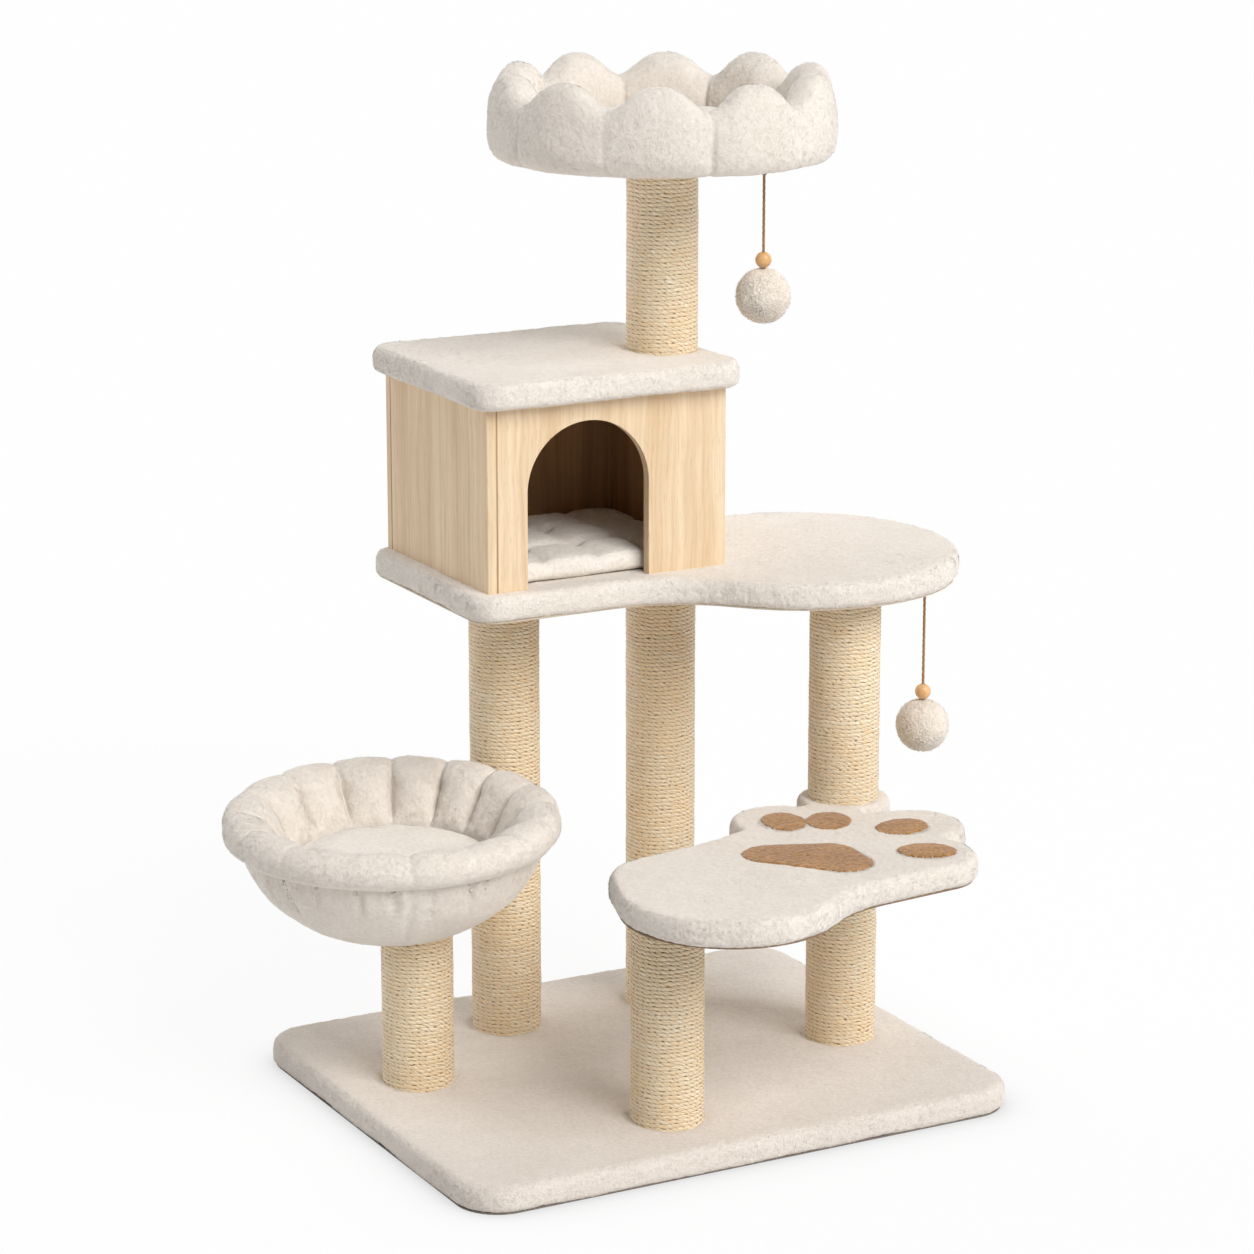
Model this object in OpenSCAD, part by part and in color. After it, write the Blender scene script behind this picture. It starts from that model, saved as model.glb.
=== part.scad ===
// Cat tree: a carpeted base, sisal posts, a hammock basket, a paw shaped step,
// a kidney shaped deck with a wooden house on it, and a scalloped bed on the top post.

/* [Base] */
// Width of the base, left to right
base_w = 668; // [620:4:820]
// Depth of the base, front to back
base_d = 556; // [520:10:680]
// Radius of the base's corners
base_corner_r = 50; // [20:5:80]

/* [Boards and plush] */
// Thickness of the wooden boards
board_t = 18; // [15:1:22]
// Thickness of the plush on top of a board
plush_top = 10; // [6:1:14]
// Thickness of the plush round a board's edge
plush_side = 9; // [6:1:12]
// Thickness of the felt under a board
backing_t = 2; // [1:0.5:4]

/* [Posts] */
// Diameter of a post over its rope
post_d = 80; // [67:1:88]
// Diameter of the sisal rope
rope_d = 5; // [4:0.5:8]
// Wall of the cardboard tube
tube_wall = 4; // [3:0.5:6]
// Height of the plug in each end of a tube
plug_h = 22; // [16:1:30]
// Diameter of the bolts
bolt_d = 8; // [6:1:10]
// Length of a bolt beyond its board
bolt_grip = 28; // [22:1:36]

/* [Places of the posts] */
// Basket post, in from the base's left edge
basket_post_in = 93; // [80:1:130]
// Basket post, behind the base's centre line
basket_post_y = 54; // [30:1:70]
// Left rear post, left of the base's centre line
rear_left_x = 75; // [50:1:90]
// Left rear post, in from the base's back edge
rear_left_in = 111; // [90:1:140]
// Right rear post, left of the right post
rear_right_dx = 125; // [100:1:150]
// Right rear post, behind the right post
rear_right_dy = 198; // [165:1:205]
// Right post, in from the base's right edge
right_post_in = 91; // [70:1:120]
// Right post, in front of the base's centre line
right_post_y = 44; // [20:1:70]
// Front post, left of the base's centre line
front_post_x = 56; // [30:1:75]
// Front post, in from the base's front edge
front_post_in = 99; // [80:1:130]

/* [Lengths of the posts] */
// Length of the basket post
basket_post_len = 199; // [160:1:240]
// Length of the posts under the paw step
paw_post_len = 266; // [230:1:300]
// Length of the posts under the deck
deck_post_len = 533; // [445:1:600]
// Length of the post under the bed
bed_post_len = 226; // [190:1:280]

/* [Paw step] */
// Radius of the step's round end
arm_r = 117; // [90:1:130]
// Radius of the palm
palm_r = 116; // [100:1:130]
// Radius of a toe
toe_r = 54; // [46:1:60]
// Length of a toe's pad
toe_pad_l = 60; // [40:1:66]
// Width of a toe's pad
toe_pad_w = 46; // [30:1:48]
// Thickness of the brown pads
pad_t = 4; // [2:0.5:8]

/* [Deck] */
// Radius of the deck's round end
lobe_r = 180; // [160:1:210]
// Centre of the round end, left of the right post
lobe_dx = 7; // [0:1:20]
// Centre of the round end, behind the right post
lobe_dy = 94; // [80:1:110]
// Radius of the waist in the deck's front edge
waist_r = 150; // [100:5:180]
// Radius of the inside corner at the deck's back
nook_r = 28; // [15:1:30]
// Radius of the deck's and the roof's corners
deck_corner_r = 28; // [15:1:40]
// Deck beyond the house's left wall
deck_left = 17; // [8:1:24]
// Deck beyond the house's right wall
deck_right = 10; // [8:1:20]
// Deck beyond the house's front wall
deck_front = 16; // [10:1:24]
// Deck beyond the house's back wall
deck_back = 14; // [10:1:24]

/* [House] */
// Width of the house
house_w = 292; // [276:1:352]
// Depth of the house
house_d = 252; // [240:1:300]
// Height of the house's walls
house_h = 203; // [195:1:245]
// Thickness of the house's walls
panel_t = 12; // [10:1:15]
// Slope cut off the walls' upright edges
edge_ease = 0.8; // [0.2:0.2:2]
// Left rear post, in from the house's left wall
house_left_in = 96; // [80:1:110]
// Left rear post, in from the house's front wall
house_front_in = 155; // [140:1:170]
// Width of the doorway
door_w = 148; // [125:1:175]
// Height of the doorway to the top of its arch
door_h = 179; // [155:1:185]
// Doorway, in from the house's left side
door_in = 48; // [36:1:58]
// Roof beyond the house on its left and right
roof_side = 15; // [12:1:24]
// Roof beyond the house at its front and back
roof_end = 19; // [14:1:24]
// Height of the house's cushion
cushion_h = 28; // [20:1:50]
// Gap between the cushion and the walls
cushion_gap = 4; // [2:1:10]
// Diameter of the house's screws
screw_d = 3.5; // [3:0.5:4]
// Length of a roof brace's arms
brace_arm = 24; // [18:1:30]
// Thickness of a roof brace
brace_t = 2; // [1.5:0.5:3]

/* [Bed] */
// Bed post, in from the house's right wall
bed_post_in = 30; // [28:1:60]
// Bed post, behind the house's front wall
bed_post_back = 91; // [76:1:130]
// Radius of the bed at its widest
bed_r = 195; // [175:1:234]
// Thickness of the bed's wall
bed_wall_t = 54; // [40:1:60]
// Height of the bed's wall at a petal's top
petal_h = 92; // [78:1:108]
// Height of the bed's wall between two petals
valley_h = 66; // [55:1:70]
// Number of petals
petals = 10; // [8:1:12]
// Direction of the first petal
petal_turn = -118; // [-180:1:180]
// Thickness of the bed's board
bed_board_t = 15; // [12:1:18]
// Thickness of the plush under the bed
bed_skin_t = 4; // [3:1:6]
// Thickness of the bed's cushion
bed_cushion_t = 18; // [14:1:30]

/* [Basket] */
// Radius of the basket over its rim
basket_r = 182; // [165:1:184]
// Basket's centre, left of its post
basket_dx = 28; // [0:1:32]
// Radius of the rolled rim
rim_r = 19; // [15:1:22]
// Depth of the bowl below its rim
bowl_drop = 112; // [100:1:135]
// Radius of the bowl's flat bottom
bowl_flat_r = 78; // [76:1:90]
// Thickness of the bowl's cloth
bowl_cloth_t = 4; // [3:1:6]
// Depth of the basket's cushion below the middle of its rim
basket_floor_drop = 38; // [30:1:46]
// Radius of the basket's cushion
basket_floor_r = 100; // [90:1:110]
// Thickness of the basket's board
basket_board_t = 12; // [9:1:15]
// Diameter of the steel hoop in the rim
hoop_d = 5; // [4:0.5:7]

/* [Toys] */
// Length of the bed toy's string above its bead
bed_string_len = 93; // [78:1:115]
// Length of the deck toy's string above its bead
deck_string_len = 124; // [90:1:150]
// Diameter of a toy's string
string_d = 3; // [2:0.5:4]
// Diameter of a toy's bead
bead_d = 18; // [14:1:24]
// Diameter of a toy's pompom
pompom_d = 62; // [50:1:66]
// Distance of the bed toy from the bed post
bed_toy_out = 115; // [108:1:130]
// Direction of the bed toy from the bed post
bed_toy_turn = -45; // [-80:1:-10]
// Distance of the deck toy from the right post
deck_toy_out = 125; // [115:1:132]
// Direction of the deck toy from the right post
deck_toy_turn = 13; // [0:1:30]

/* [Hidden] */
$fn = 64;
// facets in the round parts of the outlines that are blended
outline_fn = 40;
eps = 0.01;
// gap between layers that are glued or slid over each other
layer_gap = 0.3;
// gap round a post where it passes through plush
plush_gap = 0.6;
// gap round a bolt or a screw
bolt_gap = 0.1;
// how far the felt under a board stays back from the plush's face
backing_in = 2;

// heights
base_board_z = backing_t;
base_floor_z = base_board_z + board_t;
paw_board_z = base_floor_z + paw_post_len;
paw_floor_z = paw_board_z + board_t;
deck_board_z = base_floor_z + deck_post_len;
deck_floor_z = deck_board_z + board_t;
deck_top_z = deck_floor_z + plush_top;
roof_board_z = deck_top_z + house_h;
roof_floor_z = roof_board_z + board_t;
bed_board_z = roof_floor_z + bed_post_len;
bed_bottom_z = bed_board_z - bed_skin_t;
bed_floor_z = bed_board_z + bed_board_t;
basket_board_z = base_floor_z + basket_post_len;
bowl_bottom_z = basket_board_z - bowl_cloth_t;
bowl_top_z = bowl_bottom_z + bowl_drop;
rim_z = bowl_top_z + rim_r / 2;
basket_floor_z = rim_z - basket_floor_drop;

// places
basket_post = [-base_w / 2 + basket_post_in, basket_post_y];
rear_left_post = [-rear_left_x, base_d / 2 - rear_left_in];
right_post = [base_w / 2 - right_post_in, -right_post_y];
rear_right_post = [right_post[0] - rear_right_dx, right_post[1] + rear_right_dy];
front_post = [-front_post_x, -base_d / 2 + front_post_in];
house_x0 = rear_left_post[0] - house_left_in;
house_x1 = house_x0 + house_w;
house_y0 = rear_left_post[1] - house_front_in;
house_y1 = house_y0 + house_d;
bed_post = [house_x1 - bed_post_in, house_y0 + bed_post_back];
basket_at = [basket_post[0] - basket_dx, basket_post[1]];
lobe_at = [right_post[0] - lobe_dx, right_post[1] + lobe_dy];
bed_toy = bed_post + bed_toy_out * [cos(bed_toy_turn), sin(bed_toy_turn)];
deck_toy = right_post + deck_toy_out * [cos(deck_toy_turn), sin(deck_toy_turn)];

// posts
post_r = post_d / 2;
tube_r = post_r - rope_d - layer_gap;
base_bolt_places = [basket_post, rear_left_post, rear_right_post, right_post, front_post];
deck_bolt_places = [rear_left_post, rear_right_post, right_post];
// each tube's place, foot and length
tubes = [
    [basket_post, base_floor_z, basket_post_len],
    [rear_left_post, base_floor_z, deck_post_len],
    [rear_right_post, base_floor_z, deck_post_len],
    [right_post, base_floor_z, paw_post_len],
    [right_post, paw_floor_z, deck_board_z - paw_floor_z],
    [front_post, base_floor_z, paw_post_len],
    [bed_post, roof_floor_z, bed_post_len]
];

// bolts and screws
head_r = bolt_d;
head_h = bolt_d / 2;
screw_head_r = screw_d;
screw_head_h = 2;
screw_bite = 8;
base_screw_bite = 24;

// the paw: its arm covers the front post and its second toe covers the right post
arm_at = front_post + [22, -93];
wrist_at = front_post + [-2, -30];
wrist_r = 74;
palm_at = right_post + [-131, -168];
palm_back_at = palm_at + [-20, 28];
toes = [palm_at + [22, 121], right_post, palm_at + [144, 40], palm_at + [101, -52]];
// each toe's size as a share of the radius
toe_sizes = [1, 0.94, 1, 1];
toe_pad_turns = [80, 54, 14, -29];
toe_pad_reach = [110, 108, 126, 115];
palm_pad_lobes = [[-54, 14, 29], [4, -10, 30], [0, -46, 32]];
paw_web_r = 12;
paw_neck_r = 150;

// the deck's waist, a circle that touches its front edge and its round end
deck_x0 = house_x0 - deck_left;
deck_x1 = house_x1 + deck_right;
deck_y0 = house_y0 - deck_front;
deck_y1 = house_y1 + deck_back;
waist_y = deck_y0 - waist_r;
waist_x = lobe_at[0] - sqrt(pow(lobe_r + waist_r, 2) - pow(lobe_at[1] - waist_y, 2));

// the house
door_r = door_w / 2;
door_x = house_x0 + door_in + door_r;
door_spring_z = deck_top_z + door_h - door_r;
// how far the screws stay in from a wall's end
screw_in = 40;
// places of the screws that come up through the deck, one pair for each wall
house_screws = [
    [(house_x0 + panel_t + door_x - door_r) / 2, house_y0 + panel_t / 2],
    [house_x1 - panel_t - screw_in, house_y0 + panel_t / 2],
    [house_x0 + panel_t / 2, house_y0 + screw_in],
    [house_x0 + panel_t / 2, house_y1 - panel_t - screw_in],
    [house_x0 + screw_in, house_y1 - panel_t / 2],
    [house_x1 - panel_t - screw_in, house_y1 - panel_t / 2],
    [house_x1 - panel_t / 2, house_y0 + panel_t + screw_in],
    [house_x1 - panel_t / 2, house_y1 - screw_in]
];
// each roof brace's place on a wall's inner face, and the way it faces
braces = [
    [[house_x1 - panel_t - screw_in, house_y0 + panel_t], 0],
    [[house_x0 + panel_t, (house_y0 + house_y1) / 2], -90],
    [[(house_x0 + house_x1) / 2, house_y1 - panel_t], 180],
    [[house_x1 - panel_t, (house_y0 + house_y1) / 2 + screw_in], 90]
];
brace_w = 16;
cushion_corner_r = 30;

// the bed
bed_in_r = bed_r - bed_wall_t;
bed_foot_r = bed_r - 11;
bed_lip_r = bed_r - 9;
bed_crest_r = bed_in_r + 8;
bed_cushion_gap = 2;
petal_half = (bed_r - bed_wall_t / 2) * sin(180 / petals);
petal_sag = petal_h - valley_h;
petal_r = (petal_half * petal_half + petal_sag * petal_sag) / (2 * petal_sag);

// the basket
rim_ring_r = basket_r - rim_r;
bowl_b = bowl_drop / sqrt(1 - pow(bowl_flat_r / rim_ring_r, 2));
bowl_steps = 10;
basket_board_r = bowl_flat_r - bowl_cloth_t;

// the toys
loop_r = 3.5;
loop_wire_r = 0.9;
bar_r = 0.8;
leg_w = 2;
staple_half_w = 5;
staple_leg = 9;
string_top = 4.3;
string_tail = 8;
pompom_sink = 3;
bar_drop = 5;
bed_pivot_z = bed_bottom_z - bar_drop;
deck_pivot_z = deck_board_z - backing_t - bar_drop;
string_step = 8;

// ---- shapes that several pieces share ----

// a rectangle with round corners, about its centre
module rounded(w, d, r) {
    square([w - 2 * r, d], center = true);
    square([w, d - 2 * r], center = true);
    for (x = [-1, 1], y = [-1, 1])
        translate([x * (w / 2 - r), y * (d / 2 - r)]) circle(r);
}

// a rounded rectangle between two corners
module rounded_from(x0, y0, x1, y1, r) {
    translate([(x0 + x1) / 2, (y0 + y1) / 2]) rounded(x1 - x0, y1 - y0, r);
}

// round holes through something, at a list of places
module holes(places, r, z0, z1) {
    for (p = places)
        translate([p[0], p[1], z0 - eps]) cylinder(r = r, h = z1 - z0 + 2 * eps);
}

// a hexagon headed bolt, its head down and its shank up from z = 0
module bolt(reach, gap = 0) {
    if (gap == 0) cylinder(r = head_r, h = head_h, $fn = 6);
    else translate([0, 0, -eps]) cylinder(r = head_r + gap, h = head_h + eps);
    cylinder(r = bolt_d / 2 + gap, h = reach);
}

// bolts up through a board whose underside is at z, into the posts on it
module bolts_up(places, z, t, gap = 0) {
    for (p = places) translate([p[0], p[1], z]) bolt(t + bolt_grip, gap);
}

// bolts down through a board whose top is at z, into the posts under it
module bolts_down(places, z, t, gap = 0) {
    for (p = places) translate([p[0], p[1], z]) mirror([0, 0, 1]) bolt(t + bolt_grip, gap);
}

// the cardboard tube of a post
module tube(n) {
    t = tubes[n];
    color("burlywood") translate([t[0][0], t[0][1], t[1]]) difference() {
        cylinder(r = tube_r, h = t[2]);
        translate([0, 0, -eps]) cylinder(r = tube_r - tube_wall, h = t[2] + 2 * eps);
    }
}

// the rope wound on a post
module rope(n) {
    t = tubes[n];
    color("wheat") translate([t[0][0], t[0][1], t[1]]) difference() {
        cylinder(r = post_r, h = t[2]);
        translate([0, 0, -eps]) cylinder(r = post_r - rope_d, h = t[2] + 2 * eps);
    }
}

// plush over a board's top and round its edge, from the board's underside up
module plush_cap(z) {
    translate([0, 0, z]) difference() {
        linear_extrude(board_t + plush_top) children(0);
        translate([0, 0, -eps]) linear_extrude(board_t + eps) children(1);
    }
}

// ---- base ----

module base_outline(inset) {
    rounded(base_w - 2 * inset, base_d - 2 * inset, base_corner_r - inset);
}

module base_backing() {
    color("dimgray") linear_extrude(backing_t) base_outline(backing_in);
}

module base_board() {
    color("tan") difference() {
        translate([0, 0, base_board_z]) linear_extrude(board_t) base_outline(plush_side);
        bolts_up(base_bolt_places, base_board_z, board_t, bolt_gap);
    }
}

module base_cover() {
    color("antiquewhite") difference() {
        plush_cap(base_board_z) {
            base_outline(0);
            base_outline(plush_side);
        }
        holes(base_bolt_places, post_r + plush_gap, base_floor_z, base_floor_z + plush_top);
    }
}

module base_bolts() {
    color("silver") bolts_up(base_bolt_places, base_board_z, board_t);
}

// ---- posts ----

module basket_post_tube() tube(0);
module basket_post_rope() rope(0);
module rear_left_post_tube() tube(1);
module rear_left_post_rope() rope(1);
module rear_right_post_tube() tube(2);
module rear_right_post_rope() rope(2);
module right_lower_post_tube() tube(3);
module right_lower_post_rope() rope(3);
module right_upper_post_tube() tube(4);
module right_upper_post_rope() rope(4);
module front_post_tube() tube(5);
module front_post_rope() rope(5);
module bed_post_tube() tube(6);
module bed_post_rope() rope(6);

// a round plug in each end of every tube, with a hole for the bolt
module post_end_plugs() {
    color("peru") for (t = tubes, z = [t[1], t[1] + t[2] - plug_h])
        translate([t[0][0], t[0][1], z]) difference() {
            cylinder(r = tube_r - tube_wall - bolt_gap, h = plug_h);
            translate([0, 0, -eps]) cylinder(r = bolt_d / 2 + bolt_gap, h = plug_h + 2 * eps);
        }
}

// ---- paw step ----

module paw_outline($fn = outline_fn) {
    offset(r = -paw_web_r) offset(r = paw_web_r) {
        offset(r = -paw_neck_r) offset(r = paw_neck_r) {
            hull() {
                translate(arm_at) circle(arm_r);
                translate(wrist_at) circle(wrist_r);
            }
            hull() {
                translate(wrist_at) circle(wrist_r);
                translate(palm_back_at) circle(wrist_r);
            }
            hull() {
                translate(palm_at) circle(palm_r);
                translate(toes[3]) circle(toe_r);
            }
        }
        for (i = [0 : len(toes) - 1]) {
            translate(toes[i]) circle(toe_r * toe_sizes[i]);
            // the middle of the paw is whole, with no gap left between the toes and the palm
            hull() {
                translate(toes[i]) circle(toe_r / 2);
                translate(palm_at) circle(toe_r / 2);
            }
        }
    }
}

module paw_backing() {
    color("saddlebrown") difference() {
        translate([0, 0, paw_board_z - backing_t]) linear_extrude(backing_t)
            offset(delta = -backing_in) paw_outline();
        holes([front_post, right_post], post_r + plush_gap, paw_board_z - backing_t, paw_board_z);
    }
}

module paw_board() {
    color("tan") difference() {
        translate([0, 0, paw_board_z]) linear_extrude(board_t)
            offset(delta = -plush_side) paw_outline();
        bolts_down([front_post], paw_floor_z, board_t, bolt_gap);
        holes([right_post], bolt_d / 2 + bolt_gap, paw_board_z, paw_floor_z);
    }
}

module paw_cover() {
    color("antiquewhite") difference() {
        plush_cap(paw_board_z) {
            paw_outline();
            offset(delta = -plush_side) paw_outline();
        }
        holes([right_post], post_r + plush_gap, paw_floor_z, paw_floor_z + plush_top);
    }
}

module paw_toe_pads() {
    color("peru") translate([palm_at[0], palm_at[1], paw_floor_z + plush_top])
        for (i = [0 : len(toe_pad_turns) - 1])
            rotate(toe_pad_turns[i]) translate([toe_pad_reach[i], 0])
                linear_extrude(pad_t) scale([toe_pad_l / toe_pad_w, 1]) circle(d = toe_pad_w);
}

module paw_palm_pad() {
    color("peru") translate([palm_at[0], palm_at[1], paw_floor_z + plush_top])
        linear_extrude(pad_t) hull()
            for (l = palm_pad_lobes) translate([l[0], l[1]]) circle(l[2]);
}

// a bolt down into the front post, and a stud that joins the two halves of the right post
module paw_bolts() {
    color("silver") {
        bolts_down([front_post], paw_floor_z, board_t);
        translate([right_post[0], right_post[1], paw_board_z - bolt_grip])
            cylinder(r = bolt_d / 2, h = board_t + 2 * bolt_grip);
    }
}

// ---- deck ----

module deck_outline($fn = outline_fn) {
    offset(r = -nook_r) offset(r = nook_r) {
        rounded_from(deck_x0, deck_y0, deck_x1, deck_y1, deck_corner_r);
        translate(lobe_at) circle(lobe_r);
        difference() {
            polygon([[waist_x, deck_y0], lobe_at, [waist_x, waist_y]]);
            translate([waist_x, waist_y]) circle(waist_r);
        }
    }
}

module house_screw_cuts() {
    for (p = house_screws) translate([p[0], p[1], deck_board_z]) {
        translate([0, 0, -eps]) cylinder(r = screw_head_r + bolt_gap, h = screw_head_h + eps);
        cylinder(r = screw_d / 2 + bolt_gap, h = board_t + plush_top + base_screw_bite + bolt_gap);
    }
}

module deck_backing() {
    color("tan") difference() {
        translate([0, 0, deck_board_z - backing_t]) linear_extrude(backing_t)
            offset(delta = -backing_in) deck_outline();
        holes(deck_bolt_places, post_r + plush_gap, deck_board_z - backing_t, deck_board_z);
        staple_legs(deck_toy, deck_pivot_z, deck_toy_turn, bolt_gap);
    }
}

module deck_board() {
    color("tan") difference() {
        translate([0, 0, deck_board_z]) linear_extrude(board_t)
            offset(delta = -plush_side) deck_outline();
        bolts_down(deck_bolt_places, deck_floor_z, board_t, bolt_gap);
        house_screw_cuts();
        staple_legs(deck_toy, deck_pivot_z, deck_toy_turn, bolt_gap);
    }
}

module deck_cover() {
    color("antiquewhite") difference() {
        plush_cap(deck_board_z) {
            deck_outline();
            offset(delta = -plush_side) deck_outline();
        }
        house_screw_cuts();
    }
}

module deck_bolts() {
    color("silver") bolts_down(deck_bolt_places, deck_floor_z, board_t);
}

// ---- house ----

// a wall between two corners, with its upright edges eased and holes for its screws
module wall(x0, y0, x1, y1) {
    difference() {
        translate([0, 0, deck_top_z]) linear_extrude(house_h) polygon([
            [x0 + edge_ease, y0], [x1 - edge_ease, y0], [x1, y0 + edge_ease], [x1, y1 - edge_ease],
            [x1 - edge_ease, y1], [x0 + edge_ease, y1], [x0, y1 - edge_ease], [x0, y0 + edge_ease]
        ]);
        house_screw_cuts();
        at_braces() brace_screws(bolt_gap);
    }
}

module house_front_panel() {
    color("wheat") difference() {
        wall(house_x0 + panel_t, house_y0, house_x1, house_y0 + panel_t);
        translate([door_x, house_y0 + panel_t + eps, 0]) rotate([90, 0, 0])
            linear_extrude(panel_t + 2 * eps) {
                translate([0, door_spring_z]) circle(door_r);
                translate([-door_r, deck_top_z - eps])
                    square([door_w, door_spring_z - deck_top_z + eps]);
            }
    }
}

module house_left_panel() {
    color("wheat") wall(house_x0, house_y0, house_x0 + panel_t, house_y1 - panel_t);
}

module house_back_panel() {
    color("wheat") wall(house_x0, house_y1 - panel_t, house_x1 - panel_t, house_y1);
}

module house_right_panel() {
    color("wheat") wall(house_x1 - panel_t, house_y0 + panel_t, house_x1, house_y1);
}

module house_screws_in_deck() {
    color("silver") for (p = house_screws) translate([p[0], p[1], deck_board_z]) {
        cylinder(r = screw_head_r, h = screw_head_h);
        cylinder(r = screw_d / 2, h = board_t + plush_top + base_screw_bite);
    }
}

module house_cushion() {
    inset = panel_t + cushion_gap;
    color("ivory") translate([0, 0, deck_top_z]) linear_extrude(cushion_h)
        rounded_from(house_x0 + inset, house_y0 + inset, house_x1 - inset, house_y1 - inset,
            cushion_corner_r);
}

// ---- roof ----

module roof_outline(inset) {
    rounded_from(house_x0 - roof_side + inset, house_y0 - roof_end + inset,
        house_x1 + roof_side - inset, house_y1 + roof_end - inset, deck_corner_r - inset);
}

module roof_board() {
    color("tan") difference() {
        translate([0, 0, roof_board_z]) linear_extrude(board_t) roof_outline(plush_side);
        bolts_up([bed_post], roof_board_z, board_t, bolt_gap);
        at_braces() brace_screws(bolt_gap);
    }
}

module roof_cover() {
    color("antiquewhite") difference() {
        plush_cap(roof_board_z) {
            roof_outline(0);
            roof_outline(plush_side);
        }
        holes([bed_post], post_r + plush_gap, roof_floor_z, roof_floor_z + plush_top);
    }
}

// puts its children in the corner between each wall and the roof
module at_braces() {
    for (b = braces) translate([b[0][0], b[0][1], roof_board_z]) rotate(b[1]) children();
}

// one screw into the wall and one into the roof
module brace_screws(gap = 0) {
    far = brace_arm * 2 / 3;
    bite = screw_bite + gap;
    translate([0, -bite, -far]) rotate([-90, 0, 0]) cylinder(r = screw_d / 2 + gap, h = bite + brace_t);
    translate([0, far, -brace_t]) cylinder(r = screw_d / 2 + gap, h = bite + brace_t);
    if (gap == 0) {
        translate([0, brace_t, -far]) rotate([-90, 0, 0]) cylinder(r = screw_head_r, h = screw_head_h);
        translate([0, far, -brace_t - screw_head_h]) cylinder(r = screw_head_r, h = screw_head_h);
    }
}

module roof_braces() {
    color("silver") at_braces() difference() {
        translate([-brace_w / 2, 0, -brace_arm]) cube([brace_w, brace_arm, brace_arm]);
        translate([-brace_w / 2 - eps, brace_t, -brace_arm - eps])
            cube([brace_w + 2 * eps, brace_arm, brace_arm - brace_t + eps]);
        translate([0, 0, -brace_arm * 2 / 3]) rotate([-90, 0, 0])
            translate([0, 0, -eps]) cylinder(r = screw_d / 2 + bolt_gap, h = brace_t + 2 * eps);
        translate([0, brace_arm * 2 / 3, -brace_t - eps])
            cylinder(r = screw_d / 2 + bolt_gap, h = brace_t + 2 * eps);
    }
}

module roof_brace_screws() {
    color("silver") at_braces() brace_screws();
}

// ---- bed ----

// one bolt up through the roof and one down through the bed's board
module bed_post_bolts() {
    color("silver") {
        bolts_up([bed_post], roof_board_z, board_t);
        bolts_down([bed_post], bed_floor_z, bed_board_t);
    }
}

module bed_board() {
    color("tan") difference() {
        translate([bed_post[0], bed_post[1], bed_board_z])
            cylinder(r = bed_in_r - layer_gap, h = bed_board_t);
        bolts_down([bed_post], bed_floor_z, bed_board_t, bolt_gap);
        staple_legs(bed_toy, bed_pivot_z, bed_toy_turn, bolt_gap);
    }
}

// the padded wall with its petals, and the plush under the bed, sewn as one
module bed_shell() {
    wall_z = bed_skin_t;
    color("antiquewhite") difference() {
        translate([bed_post[0], bed_post[1], bed_bottom_z]) {
            cylinder(r = bed_foot_r, h = bed_skin_t);
            intersection() {
                translate([0, 0, wall_z]) rotate_extrude() polygon([
                    [bed_in_r, 0], [bed_foot_r, 0], [bed_r, petal_h * 0.3], [bed_r, petal_h * 0.55],
                    [bed_lip_r, petal_h], [bed_crest_r, petal_h], [bed_in_r, petal_h * 0.6]
                ]);
                for (i = [0 : petals - 1]) rotate(petal_turn + i * 360 / petals)
                    translate([bed_in_r * 0.8, 0, wall_z + petal_h - petal_r])
                        rotate([0, 90, 0]) cylinder(r = petal_r, h = bed_r);
            }
            // the foot of the wall, where the petals are too round to reach down to it
            if (petal_r < petal_h) translate([0, 0, wall_z]) difference() {
                cylinder(r = bed_foot_r, h = petal_h - petal_r);
                translate([0, 0, -eps]) cylinder(r = bed_in_r, h = petal_h);
            }
        }
        holes([bed_post], post_r + plush_gap, bed_bottom_z, bed_board_z);
        staple_legs(bed_toy, bed_pivot_z, bed_toy_turn, bolt_gap);
    }
}

module bed_cushion() {
    color("ivory") translate([bed_post[0], bed_post[1], bed_floor_z])
        cylinder(r = bed_in_r - bed_cushion_gap, h = bed_cushion_t);
}

// ---- basket ----

// radius of the bowl's outside at a height
function bowl_r(z) = rim_ring_r * sqrt(1 - pow((bowl_top_z - z) / bowl_b, 2));
// a height down the bowl
function bowl_z(i) = bowl_top_z - bowl_drop * i / bowl_steps;

// the rolled rim's shape, grown by a gap
module rim_shape(gap) {
    rotate_extrude() translate([rim_ring_r, rim_z]) circle(rim_r + gap, $fn = 32);
}

module basket_board() {
    color("tan") difference() {
        translate([basket_at[0], basket_at[1], basket_board_z])
            cylinder(r = basket_board_r, h = basket_board_t);
        bolts_down([basket_post], basket_board_z + basket_board_t, basket_board_t, bolt_gap);
    }
}

module basket_bowl() {
    color("antiquewhite") difference() {
        translate([basket_at[0], basket_at[1], 0]) difference() {
            rotate_extrude() polygon(concat(
                [[0, bowl_bottom_z]],
                [for (i = [bowl_steps : -1 : 0]) [bowl_r(bowl_z(i)), bowl_z(i)]],
                [for (i = [0 : bowl_steps - 1]) [bowl_r(bowl_z(i)) - bowl_cloth_t, bowl_z(i)]],
                [[basket_board_r + layer_gap, basket_board_z], [0, basket_board_z]]
            ));
            rim_shape(layer_gap);
        }
        holes([basket_post], post_r + plush_gap, bowl_bottom_z, basket_board_z);
    }
}

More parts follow.
